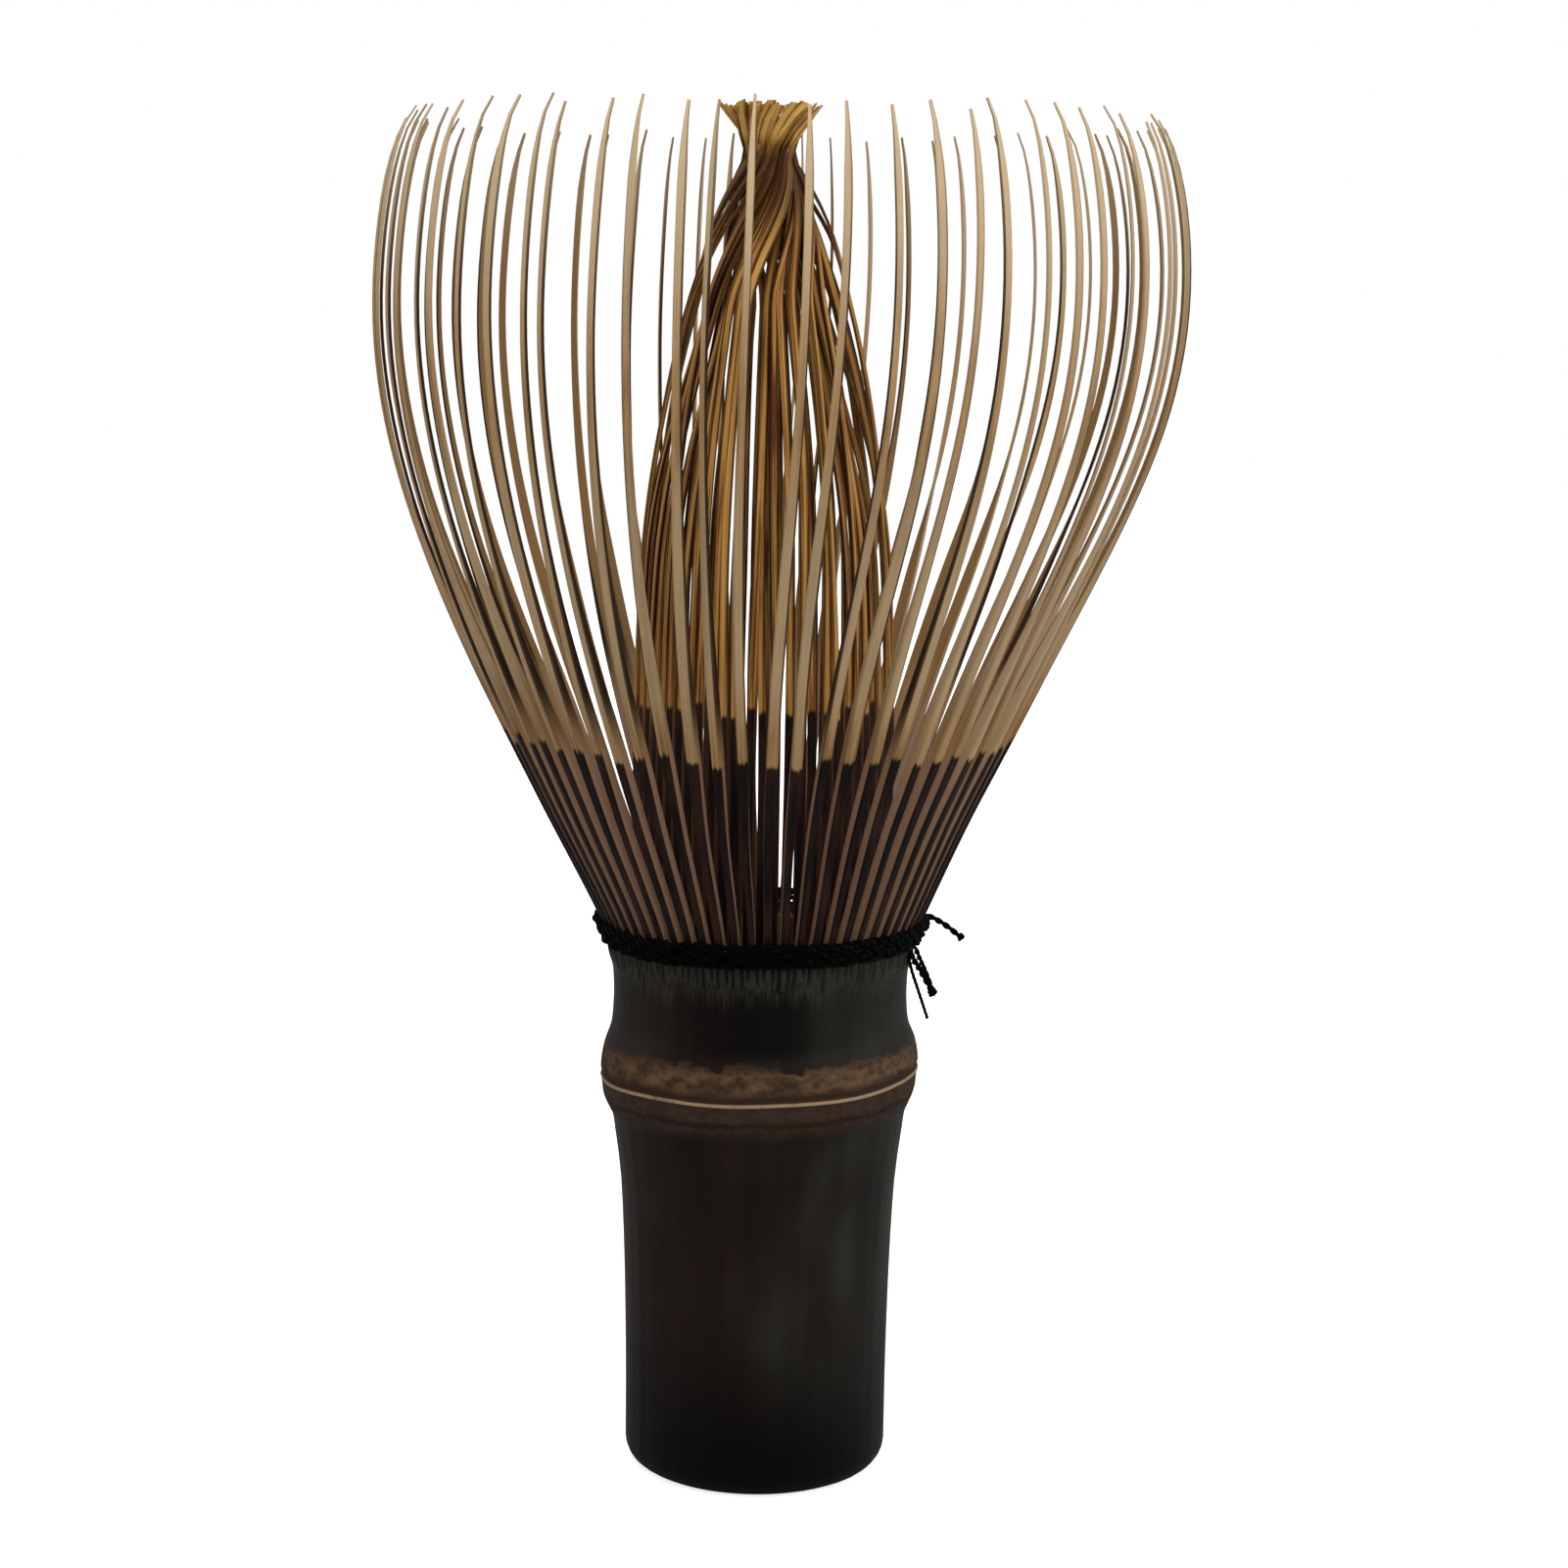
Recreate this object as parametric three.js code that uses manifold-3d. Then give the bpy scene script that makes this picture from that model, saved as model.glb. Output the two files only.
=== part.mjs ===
// Bamboo tea whisk: one hollow bamboo culm, split above its node into outer and inner tines,
// with a thread woven between the two rings of tines.
// Millimetres, +Z up, origin at the centre of the foot.
import * as THREE from "three";
import { mergeVertices } from "three/addons/utils/BufferGeometryUtils.js";
import Module from "manifold-3d";

const wasm = await Module();
wasm.setup();

// ---------------------------------------------------------------- driving dimensions

// Culm, from the foot up.
const FOOT_RADIUS = 11;
const FOOT_EDGE_RADIUS = 2;
const BORE_RADIUS = 8.2;
const NODE_HEIGHT = 33.5; // the growth line of the node
const NODE_BULGE_RADIUS = 13.28; // just above the growth line
const NODE_RIDGE_RADIUS = 13.12; // just below it
const NODE_UNDERSIDE_RADIUS = 12.2;
const GROOVE_DEPTH = 0.2;
const GROOVE_HALF_WIDTH = 0.4;
const DIAPHRAGM_THICKNESS = 2.4;
const SHOULDER_LENGTH = 10; // growth line to the rim where the tines part
const NECK_RADIUS = 12.25; // narrowest place of the shoulder
const SLIT_LENGTH = 3.2; // master splits that run down into the culm
const SLIT_WIDTH = 0.35;

// Splitting: each master split gives one outer and one inner fork of tines.
const FORK_COUNT = 16;
const TINES_PER_FORK = 4;
const FORK_GAP = 0.3; // between the roots of neighbouring forks
const ROOT_CLEARANCE = 0.3; // between the culm's rim and the roots of the forks
const ROOT_BLOCK_HEIGHT = 1.9; // unsplit foot of a fork, hidden by the thread

// Outer tines.
const ROOT_RADIUS = 12.35; // outer face of the outer tines at their roots
const RIM_LEDGE = 0.1; // the culm's rim stands proud of the roots
const OUTER_TINE_LENGTH = 68.7; // height of the head above the roots
const BELLY_RADIUS = 33.15;
const BELLY_BELOW_TIP = 14.5;
const TIP_RADIUS = 29.3;
const ROOT_FLARE = 0.42; // outward lean of the tines as they leave the thread
const OUTER_TINE_WIDTH = 0.78;
const OUTER_ROOT_THICKNESS = 0.8;
const OUTER_BLADE_THICKNESS = 0.36;
const OUTER_TIP_SIZE = 0.16;

// Inner tines: upright below, gathered to a twisted neck, then spread in a small tuft.
const BUNDLE_RADIUS = 11.05;
const INNER_TINE_WIDTH = 0.42;
const INNER_ROOT_THICKNESS = 0.5;
const INNER_BLADE_THICKNESS = 0.28;
const GATHER_RADIUS = 2.05;
const GATHER_CORE_RADIUS = 1.0; // outer face of the innermost tine of a fork at the gathered neck
const GATHER_BELOW_TIP = 3.5;
const TUFT_RADIUS = 4.2;
const TUFT_CORE_RADIUS = 1.7;
const TUFT_ABOVE_TIP = 0.8;
const STRAND_WIDTH = 0.2; // inner tine in the gathered neck and the tuft

// Thread.
const THREAD_DIAMETER = 0.55;
const COURSES_PER_WRAP = 2;
const WRAP_CLEARANCE = 0.35; // outer tines to the wraps, so that the tines can bend
const LOOP_CLEARANCE = 0.2; // tines to the loop inside
const PIECE_CLEARANCE = 0.1; // between pieces of thread
const THREAD_KNOT_RADIUS = 0.5;

// Facets round a full turn.
const CULM_FACETS = 36;
const THREAD_FACETS = 36;

// ---------------------------------------------------------------- worked out from them

const FORK_ANGLE = (2 * Math.PI) / FORK_COUNT;
const TINE_ANGLE = FORK_ANGLE / TINES_PER_FORK;
const RIM_HEIGHT = NODE_HEIGHT + SHOULDER_LENGTH;
const ROOT_HEIGHT = RIM_HEIGHT + ROOT_CLEARANCE;
const ROOT_INNER_RADIUS = ROOT_RADIUS - OUTER_ROOT_THICKNESS;
const TIP_HEIGHT = ROOT_HEIGHT + OUTER_TINE_LENGTH;
const BELLY_HEIGHT = TIP_HEIGHT - BELLY_BELOW_TIP;
const LOOP_RADIUS = ROOT_INNER_RADIUS - LOOP_CLEARANCE - THREAD_DIAMETER / 2;
const INNER_ROOT_RADIUS = LOOP_RADIUS - THREAD_DIAMETER / 2 - LOOP_CLEARANCE;
const CUP_RADIUS = INNER_ROOT_RADIUS - INNER_ROOT_THICKNESS - 0.4;
const GATHER_HEIGHT = TIP_HEIGHT - GATHER_BELOW_TIP;
const TUFT_HEIGHT = TIP_HEIGHT + TUFT_ABOVE_TIP;
const BAND_HEIGHT = ROOT_HEIGHT + ROOT_BLOCK_HEIGHT; // middle of the woven band

// ---------------------------------------------------------------- materials

const finish = (color, roughness) => new THREE.MeshStandardMaterial({ color, roughness, metalness: 0 });
const CULM_SKIN = finish("#262019", 0.38);
const OUTER_BAMBOO = finish("#a08057", 0.6);
const INNER_BAMBOO = finish("#9a7238", 0.6);
const BLACK_THREAD = finish("#0b0b0a", 0.85);

// ---------------------------------------------------------------- helpers

// A closed geometry as a solid that can be joined and cut.
const toSolid = (geometry) => {
  geometry.deleteAttribute("normal");
  geometry.deleteAttribute("uv");
  const merged = mergeVertices(geometry, 1e-4);
  return new wasm.Manifold(
    new wasm.Mesh({
      numProp: 3,
      vertProperties: merged.getAttribute("position").array,
      triVerts: Uint32Array.from(merged.index.array),
    }),
  );
};

// A solid as a geometry.
const toGeometry = (solid) => {
  const mesh = solid.getMesh();
  const geometry = new THREE.BufferGeometry();
  geometry.setAttribute("position", new THREE.BufferAttribute(mesh.vertProperties, 3));
  geometry.setIndex(new THREE.BufferAttribute(mesh.triVerts, 1));
  geometry.computeVertexNormals();
  return geometry;
};

const join = (solids) => solids.reduce((whole, next) => whole.add(next));

// Turns a profile of radius and height round the Z axis.
const turned = (profile, facets) => new THREE.LatheGeometry(profile, facets).rotateX(Math.PI / 2);

// Value at one height between stops of [height, value].
const between = (stops, height) => {
  const last = stops.length - 1;
  const next = stops.findIndex(([stop]) => stop >= height);
  if (next === 0) return stops[0][1];
  if (next < 0) return stops[last][1];
  const [low, from] = stops[next - 1];
  const [high, to] = stops[next];
  return THREE.MathUtils.mapLinear(height, low, high, from, to);
};

// A tine: its outline in the plane of radius and height is given a width across that plane,
// then turned about the axis by an angle that may change with the height.
const blade = (outline, widthAt, angleAt) => {
  const geometry = new THREE.ExtrudeGeometry(outline, { depth: 1, bevelEnabled: false });
  const position = geometry.getAttribute("position");
  for (let i = 0; i < position.count; i++) {
    const radius = position.getX(i);
    const height = position.getY(i);
    const across = (0.5 - position.getZ(i)) * widthAt(height);
    const angle = angleAt(height);
    const x = radius * Math.cos(angle) - across * Math.sin(angle);
    const y = radius * Math.sin(angle) + across * Math.cos(angle);
    position.setXYZ(i, x, y, height);
  }
  return toSolid(geometry);
};

// The unsplit foot of a fork: a short piece of the culm's wall.
const rootBlock = (innerRadius, outerRadius) => {
  const halfAngle = FORK_ANGLE / 2 - FORK_GAP / 2 / innerRadius;
  const section = new THREE.Shape();
  section.absarc(0, 0, outerRadius, -halfAngle, halfAngle, false);
  section.absarc(0, 0, innerRadius, halfAngle, -halfAngle, true);
  const size = { depth: ROOT_BLOCK_HEIGHT, bevelEnabled: false, curveSegments: TINES_PER_FORK };
  return toSolid(new THREE.ExtrudeGeometry(section, size).translate(0, 0, ROOT_HEIGHT));
};

const whisk = new THREE.Group();

const addPart = (name, geometry, material, turn = 0) => {
  const mesh = new THREE.Mesh(geometry, material);
  mesh.name = name;
  mesh.rotation.z = turn;
  whisk.add(mesh);
};

const numbered = (name, index) => `${name}_${String(index + 1).padStart(2, "0")}`;

// ---------------------------------------------------------------- culm

// Outside of the culm: rounded foot, slight flare, ridge, groove and bulge of the node, shoulder.
const culmOutside = () => {
  const foot = new THREE.Path();
  const centre = FOOT_RADIUS - FOOT_EDGE_RADIUS;
  foot.absarc(centre, FOOT_EDGE_RADIUS, FOOT_EDGE_RADIUS, -Math.PI / 2, 0, false);
  const underside = new THREE.Vector2(NODE_UNDERSIDE_RADIUS, NODE_HEIGHT - 3.7);
  const flare = new THREE.CubicBezierCurve(
    new THREE.Vector2(FOOT_RADIUS, FOOT_EDGE_RADIUS),
    new THREE.Vector2(FOOT_RADIUS, underside.y * 0.54),
    new THREE.Vector2(THREE.MathUtils.lerp(FOOT_RADIUS, underside.x, 0.42), underside.y * 0.87),
    underside,
  );
  const rimRadius = ROOT_RADIUS + RIM_LEDGE;
  const node = [
    [NODE_RIDGE_RADIUS - 0.12, NODE_HEIGHT - 1.3],
    [NODE_RIDGE_RADIUS, NODE_HEIGHT - GROOVE_HALF_WIDTH],
    [NODE_RIDGE_RADIUS - GROOVE_DEPTH, NODE_HEIGHT],
    [NODE_RIDGE_RADIUS, NODE_HEIGHT + GROOVE_HALF_WIDTH],
    [NODE_BULGE_RADIUS, NODE_HEIGHT + 1.3],
    [THREE.MathUtils.lerp(NECK_RADIUS, NODE_BULGE_RADIUS, 0.75), NODE_HEIGHT + 3],
    [THREE.MathUtils.lerp(NECK_RADIUS, NODE_BULGE_RADIUS, 0.15), NODE_HEIGHT + 4.6],
    [NECK_RADIUS, NODE_HEIGHT + 6.3],
    [rimRadius, RIM_HEIGHT],
  ];
  return [...foot.getPoints(4), ...flare.getPoints(5).slice(1), ...node.map(([r, z]) => new THREE.Vector2(r, z))];
};

// The bore below the node and the cup above it, with the diaphragm of the node between them.
const culm = () => {
  const diaphragmTop = NODE_HEIGHT + DIAPHRAGM_THICKNESS / 2;
  const diaphragmBottom = NODE_HEIGHT - DIAPHRAGM_THICKNESS / 2;
  const fillet = 1;
  const profile = [
    new THREE.Vector2(0, diaphragmBottom),
    new THREE.Vector2(BORE_RADIUS - fillet, diaphragmBottom),
    new THREE.Vector2(BORE_RADIUS, diaphragmBottom - fillet),
    new THREE.Vector2(BORE_RADIUS, 0),
    ...culmOutside(),
    new THREE.Vector2(CUP_RADIUS, RIM_HEIGHT),
    new THREE.Vector2(CUP_RADIUS, diaphragmTop + fillet),
    new THREE.Vector2(CUP_RADIUS - fillet, diaphragmTop),
    new THREE.Vector2(0, diaphragmTop),
  ];
  let solid = toSolid(turned(profile, CULM_FACETS));
  const reach = 2 * (ROOT_RADIUS - CUP_RADIUS);
  for (let i = 0; i < FORK_COUNT; i++) {
    const slit = new THREE.BoxGeometry(reach, SLIT_WIDTH, 2 * SLIT_LENGTH);
    slit.translate((ROOT_RADIUS + CUP_RADIUS) / 2, 0, RIM_HEIGHT);
    slit.rotateZ((i + 0.5) * FORK_ANGLE);
    solid = solid.subtract(toSolid(slit));
  }
  return toGeometry(solid);
};
addPart("culm_handle", culm(), CULM_SKIN);

// ---------------------------------------------------------------- outer forks

// Outer face of the outer tines: a long flare to the belly, then in to the tips.
const flareCurve = new THREE.CubicBezierCurve(
  new THREE.Vector2(ROOT_RADIUS, ROOT_HEIGHT),
  new THREE.Vector2(ROOT_RADIUS + 25 * ROOT_FLARE, ROOT_HEIGHT + 25),
  new THREE.Vector2(BELLY_RADIUS, BELLY_HEIGHT - 16),
  new THREE.Vector2(BELLY_RADIUS, BELLY_HEIGHT),
);
const crownCurve = new THREE.CubicBezierCurve(
  flareCurve.v3,
  new THREE.Vector2(BELLY_RADIUS, BELLY_HEIGHT + 0.4 * BELLY_BELOW_TIP),
  new THREE.Vector2(THREE.MathUtils.lerp(TIP_RADIUS, BELLY_RADIUS, 0.6), TIP_HEIGHT - 1.6),
  new THREE.Vector2(TIP_RADIUS, TIP_HEIGHT),
);

// Radius of the outer face, near the roots, where the thread lies.
const faceRadius = (height) => ROOT_RADIUS + ROOT_FLARE * (height - ROOT_HEIGHT);

const outerTineOutline = () => {
  const stations = [];
  const shareOfFlare = [0, 0.04, 0.22, 0.5, 0.78];
  const shareOfCrown = [0.1, 0.5, 0.8, 1];
  for (const t of shareOfFlare) stations.push([flareCurve.getPoint(t), flareCurve.getTangent(t)]);
  for (const t of shareOfCrown) stations.push([crownCurve.getPoint(t), crownCurve.getTangent(t)]);
  const thickness = [
    [ROOT_HEIGHT, OUTER_ROOT_THICKNESS],
    [ROOT_HEIGHT + 3, OUTER_ROOT_THICKNESS],
    [ROOT_HEIGHT + 18, OUTER_BLADE_THICKNESS],
    [BELLY_HEIGHT, OUTER_BLADE_THICKNESS],
    [TIP_HEIGHT, OUTER_TIP_SIZE],
  ];
  const outerFace = stations.map(([point]) => point);
  const innerFace = stations.map(([point, tangent], i) => {
    const depth = between(thickness, point.y);
    const across = i === 0 ? new THREE.Vector2(1, 0) : new THREE.Vector2(tangent.y, -tangent.x);
    return point.clone().addScaledVector(across, -depth);
  });
  return new THREE.Shape([...outerFace, ...innerFace.reverse()]);
};

const outerFork = () => {
  const outline = outerTineOutline();
  const width = [
    [ROOT_HEIGHT, OUTER_TINE_WIDTH],
    [BELLY_HEIGHT, OUTER_TINE_WIDTH],
    [TIP_HEIGHT, OUTER_TIP_SIZE],
  ];
  const solids = [rootBlock(ROOT_INNER_RADIUS, ROOT_RADIUS)];
  for (let i = 0; i < TINES_PER_FORK; i++) {
    const angle = (i - (TINES_PER_FORK - 1) / 2) * TINE_ANGLE;
    solids.push(blade(outline, (height) => between(width, height), () => angle));
  }
  return toGeometry(join(solids));
};

const outerForkGeometry = outerFork();
for (let i = 0; i < FORK_COUNT; i++) {
  addPart(numbered("outer_tines", i), outerForkGeometry, OUTER_BAMBOO, i * FORK_ANGLE);
}

// ---------------------------------------------------------------- inner forks

// Heights that give the bundle its shape, from its roots to its neck.
const bundleRise = GATHER_HEIGHT - ROOT_HEIGHT;
const loopTop = BAND_HEIGHT + THREAD_DIAMETER / 2;
const bundleWidest = ROOT_HEIGHT + 0.3 * bundleRise;
const bundleShoulder = ROOT_HEIGHT + 0.56 * bundleRise;
const bundleTaper = ROOT_HEIGHT + 0.785 * bundleRise;
const bundleClosing = GATHER_HEIGHT - 4.5;

// Stations of the outer face of one inner tine, by its place in the fork's stack at the neck.
// The tine stands upright as far as the top of the loop of thread outside it.
const innerTineStations = (place) => {
  const gathered = THREE.MathUtils.lerp(GATHER_CORE_RADIUS, GATHER_RADIUS, place);
  const spread = THREE.MathUtils.lerp(TUFT_CORE_RADIUS, TUFT_RADIUS, place);
  return [
    [INNER_ROOT_RADIUS, ROOT_HEIGHT],
    [INNER_ROOT_RADIUS, loopTop],
    [BUNDLE_RADIUS, bundleWidest],
    [0.93 * BUNDLE_RADIUS, bundleShoulder],
    [0.73 * BUNDLE_RADIUS, bundleTaper],
    [0.3 * BUNDLE_RADIUS + 0.65 * gathered, bundleClosing],
    [gathered, GATHER_HEIGHT],
    [THREE.MathUtils.lerp(gathered, spread, 0.25), GATHER_HEIGHT + 1.8],
    [spread, TUFT_HEIGHT],
  ];
};

// Twist of the bundle with height: none below the shoulder of the bundle, most at the neck.
const twist = [
  [bundleShoulder, 0],
  [bundleTaper, Math.PI / 12],
  [bundleClosing, Math.PI / 4],
  [GATHER_HEIGHT, 0.45 * Math.PI],
  [TUFT_HEIGHT, 0.7 * Math.PI],
];

const innerTine = (index) => {
  const place = index / (TINES_PER_FORK - 1);
  const stations = innerTineStations(place);
  const thickness = [
    [ROOT_HEIGHT, INNER_ROOT_THICKNESS],
    [bundleWidest, INNER_BLADE_THICKNESS],
    [GATHER_HEIGHT, 0.9 * INNER_BLADE_THICKNESS],
  ];
  const width = [
    [bundleTaper, INNER_TINE_WIDTH],
    [bundleClosing, 0.8 * INNER_TINE_WIDTH],
    [GATHER_HEIGHT, STRAND_WIDTH],
  ];
  // The fork's tines stand side by side below and one behind the other at the neck.
  const fan = [
    [bundleClosing, 1],
    [GATHER_HEIGHT, 0],
  ];
  const outerFace = stations.map(([radius, height]) => new THREE.Vector2(radius, height));
  const innerFace = stations.map(([radius, height]) => {
    return new THREE.Vector2(radius - between(thickness, height), height);
  });
  const side = (index - (TINES_PER_FORK - 1) / 2) * TINE_ANGLE;
  return blade(
    new THREE.Shape([...outerFace, ...innerFace.reverse()]),
    (height) => between(width, height),
    (height) => side * between(fan, height) + between(twist, height),
  );
};

const innerFork = () => {
  const solids = [rootBlock(INNER_ROOT_RADIUS - INNER_ROOT_THICKNESS, INNER_ROOT_RADIUS)];
  for (let i = 0; i < TINES_PER_FORK; i++) solids.push(innerTine(i));
  return toGeometry(join(solids));
};

const innerForkGeometry = innerFork();
for (let i = 0; i < FORK_COUNT; i++) {
  addPart(numbered("inner_tines", i), innerForkGeometry, INNER_BAMBOO, i * FORK_ANGLE + TINE_ANGLE / 2);
}

// ---------------------------------------------------------------- thread

// Lowest course of the band, at its underside.
const bandBottom = BAND_HEIGHT - COURSES_PER_WRAP * THREAD_DIAMETER - PIECE_CLEARANCE / 2;

// Radius at which the wraps lie on the leaning tines.
const wrapInside = (height) => faceRadius(height) + WRAP_CLEARANCE;

// Some courses of thread side by side, flat against the tines and round outside.
const wrap = (bottom) => {
  const outside = [];
  for (let i = 0; i < COURSES_PER_WRAP; i++) {
    const low = bottom + i * THREAD_DIAMETER;
    const middle = low + THREAD_DIAMETER / 2;
    outside.push(new THREE.Vector2(wrapInside(low) + 0.65 * THREAD_DIAMETER, low));
    outside.push(new THREE.Vector2(wrapInside(middle) + THREAD_DIAMETER, middle));
  }
  const top = bottom + COURSES_PER_WRAP * THREAD_DIAMETER;
  const profile = [
    new THREE.Vector2(wrapInside(bottom), bottom),
    ...outside,
    new THREE.Vector2(wrapInside(top) + 0.65 * THREAD_DIAMETER, top),
    new THREE.Vector2(wrapInside(top), top),
    new THREE.Vector2(wrapInside(bottom), bottom),
  ];
  return turned(profile, THREAD_FACETS);
};
addPart("lower_thread_wrap", wrap(bandBottom), BLACK_THREAD);
addPart("upper_thread_wrap", wrap(BAND_HEIGHT + PIECE_CLEARANCE / 2), BLACK_THREAD);

// The loop that keeps the outer tines apart from the inner ones.
const loopSection = new THREE.Path().absarc(LOOP_RADIUS, BAND_HEIGHT, THREAD_DIAMETER / 2, 0, 2 * Math.PI, false);
addPart("inner_thread_loop", turned(loopSection.getPoints(3), THREAD_FACETS), BLACK_THREAD);

// Point at a radius, an angle from +X and a height.
const around = (radius, angle, height) => {
  return new THREE.Vector3(radius * Math.cos(angle), radius * Math.sin(angle), height);
};

// The knot that ties off the band, on the +X side.
const bandOutside = (height) => wrapInside(height) + THREAD_DIAMETER;
const knot = new THREE.SphereGeometry(THREAD_KNOT_RADIUS, 10, 8);
const knotCentre = around(bandOutside(BAND_HEIGHT) + PIECE_CLEARANCE + THREAD_KNOT_RADIUS, -0.03, BAND_HEIGHT);
addPart("thread_knot", knot.translate(knotCentre.x, knotCentre.y, knotCentre.z), BLACK_THREAD);

// A cut end of thread that stands out from the band, with an end knot where it has one.
const threadEnd = (points, diameter, endKnotRadius) => {
  const section = new THREE.Shape().absarc(0, 0, diameter / 2, 0, 2 * Math.PI, false);
  const path = new THREE.CatmullRomCurve3(points);
  const strand = toSolid(new THREE.ExtrudeGeometry(section, { steps: 6, curveSegments: 4, extrudePath: path }));
  if (!endKnotRadius) return toGeometry(strand);
  const end = points[points.length - 1];
  const bead = new THREE.SphereGeometry(endKnotRadius, 8, 6).translate(end.x, end.y, end.z);
  return toGeometry(strand.add(toSolid(bead)));
};

const bandTop = 2 * BAND_HEIGHT - bandBottom;
const upperStart = bandOutside(bandTop) + PIECE_CLEARANCE + THREAD_DIAMETER;
const upperEnd = [
  around(upperStart, 0.12, bandTop),
  around(upperStart + 1.0, 0.11, bandTop - 0.6),
  around(upperStart + 2.3, 0.1, bandTop - 2),
];
addPart("upper_thread_end", threadEnd(upperEnd, THREAD_DIAMETER, 0.6 * THREAD_DIAMETER), BLACK_THREAD);

const lowerStart = ROOT_RADIUS + RIM_LEDGE + THREAD_DIAMETER + PIECE_CLEARANCE;
const lowerTop = bandBottom - THREAD_DIAMETER - PIECE_CLEARANCE;
const lowerEnd = [
  around(lowerStart, -0.12, lowerTop),
  around(lowerStart + 0.6, -0.125, lowerTop - 1.3),
  around(lowerStart + 1.5, -0.13, lowerTop - 3.6),
];
addPart("lower_thread_end", threadEnd(lowerEnd, 1.2 * THREAD_DIAMETER, 0.8 * THREAD_DIAMETER), BLACK_THREAD);

const looseStrand = [
  around(lowerStart, -0.2, lowerTop),
  around(lowerStart + 0.4, -0.205, lowerTop - 2),
  around(lowerStart + 1.3, -0.21, lowerTop - 5.3),
];
addPart("loose_thread_strand", threadEnd(looseStrand, 0.6 * THREAD_DIAMETER, 0), BLACK_THREAD);

export default whisk;
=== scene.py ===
"""Bamboo tea whisk (chasen): the finished surfaces round its frame of culm, tines and thread.

Metres, +Z up, origin at the centre of the foot. Angles run anticlockwise from +X, seen from above.
"""
import logging
import math
from dataclasses import dataclass
from enum import Enum
from typing import Sequence, Union

import bmesh
import bpy
import numpy as np
from mathutils import Matrix, Vector


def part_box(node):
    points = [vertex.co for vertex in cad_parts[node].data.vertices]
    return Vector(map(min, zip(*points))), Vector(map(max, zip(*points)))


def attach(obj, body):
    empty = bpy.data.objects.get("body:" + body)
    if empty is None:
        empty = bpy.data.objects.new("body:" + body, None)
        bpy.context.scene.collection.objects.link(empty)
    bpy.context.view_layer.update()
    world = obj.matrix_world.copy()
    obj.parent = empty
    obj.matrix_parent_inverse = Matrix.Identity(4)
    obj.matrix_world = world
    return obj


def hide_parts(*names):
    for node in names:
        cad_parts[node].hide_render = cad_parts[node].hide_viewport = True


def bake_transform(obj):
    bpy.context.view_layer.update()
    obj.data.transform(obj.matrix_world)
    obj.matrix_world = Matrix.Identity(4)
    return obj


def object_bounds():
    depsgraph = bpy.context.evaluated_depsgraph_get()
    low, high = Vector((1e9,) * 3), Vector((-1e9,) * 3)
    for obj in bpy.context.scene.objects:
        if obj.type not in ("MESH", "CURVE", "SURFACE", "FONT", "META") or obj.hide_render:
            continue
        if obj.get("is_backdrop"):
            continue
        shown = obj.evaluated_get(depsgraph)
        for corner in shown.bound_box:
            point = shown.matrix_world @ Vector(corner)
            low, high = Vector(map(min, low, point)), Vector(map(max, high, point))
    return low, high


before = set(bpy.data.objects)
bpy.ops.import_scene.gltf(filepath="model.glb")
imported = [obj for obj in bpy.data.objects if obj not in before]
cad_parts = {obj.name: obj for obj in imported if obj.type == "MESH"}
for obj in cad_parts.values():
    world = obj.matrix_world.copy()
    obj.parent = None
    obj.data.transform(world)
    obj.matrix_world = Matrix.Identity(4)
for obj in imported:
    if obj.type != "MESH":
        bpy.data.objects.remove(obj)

MM = 0.001
TURN = 2 * math.pi
RIM_UNDER_BAND = 1.5 * MM  # how far the culm's wall runs on behind the thread
LOG = logging.getLogger("whisk")
Number = Union["Field", float, int]
Spot = tuple[float, float, float]
Way = tuple[Spot, ...]


# ---------------------------------------------------------------- node trees


@dataclass(frozen=True)
class Field:
    """What comes out of a node. Plain arithmetic on it adds Math nodes to its tree."""

    tree: bpy.types.NodeTree
    socket: bpy.types.NodeSocket

    def sibling(self, name: str) -> "Field":
        """Another output of the same node."""
        return Field(self.tree, self.socket.node.outputs[name])

    def math(self, operation: str, *others: Number) -> "Field":
        """A Math node whose first value is this field."""
        values = dict(enumerate((self, *others)))
        return add_node(self.tree, "ShaderNodeMath", values, operation=operation)

    def ease(self, low: Number, high: Number, first: Number = 0.0, last: Number = 1.0) -> "Field":
        """Goes smoothly from first to last while this field goes from low to high."""
        limits = {"Value": self, "From Min": low, "From Max": high, "To Min": first, "To Max": last}
        return add_node(self.tree, "ShaderNodeMapRange", limits, interpolation_type="SMOOTHSTEP")

    def tint(self, first: Union["Field", str], last: Union["Field", str]) -> "Field":
        """The colour that goes from first to last while this field goes from 0 to 1.

        Args:
            first: Colour at 0, as hex or as a field.
            last: Colour at 1.

        Returns:
            The colour between them.
        """
        ends = [linear(end) if isinstance(end, str) else end for end in (first, last)]
        colours = {0: self, 6: ends[0], 7: ends[1]}
        return add_node(self.tree, "ShaderNodeMix", colours, 2, data_type="RGBA")

    def __add__(self, other: Number) -> "Field":
        """This field plus another."""
        return self.math("ADD", other)

    def __sub__(self, other: Number) -> "Field":
        """This field less another."""
        return self.math("SUBTRACT", other)

    def __rsub__(self, other: float) -> "Field":
        """A number less this field."""
        return add_node(self.tree, "ShaderNodeMath", {0: other, 1: self}, operation="SUBTRACT")

    def __mul__(self, other: Number) -> "Field":
        """This field times another."""
        return self.math("MULTIPLY", other)

    def __truediv__(self, other: Number) -> "Field":
        """This field divided by another."""
        return self.math("DIVIDE", other)


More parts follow.
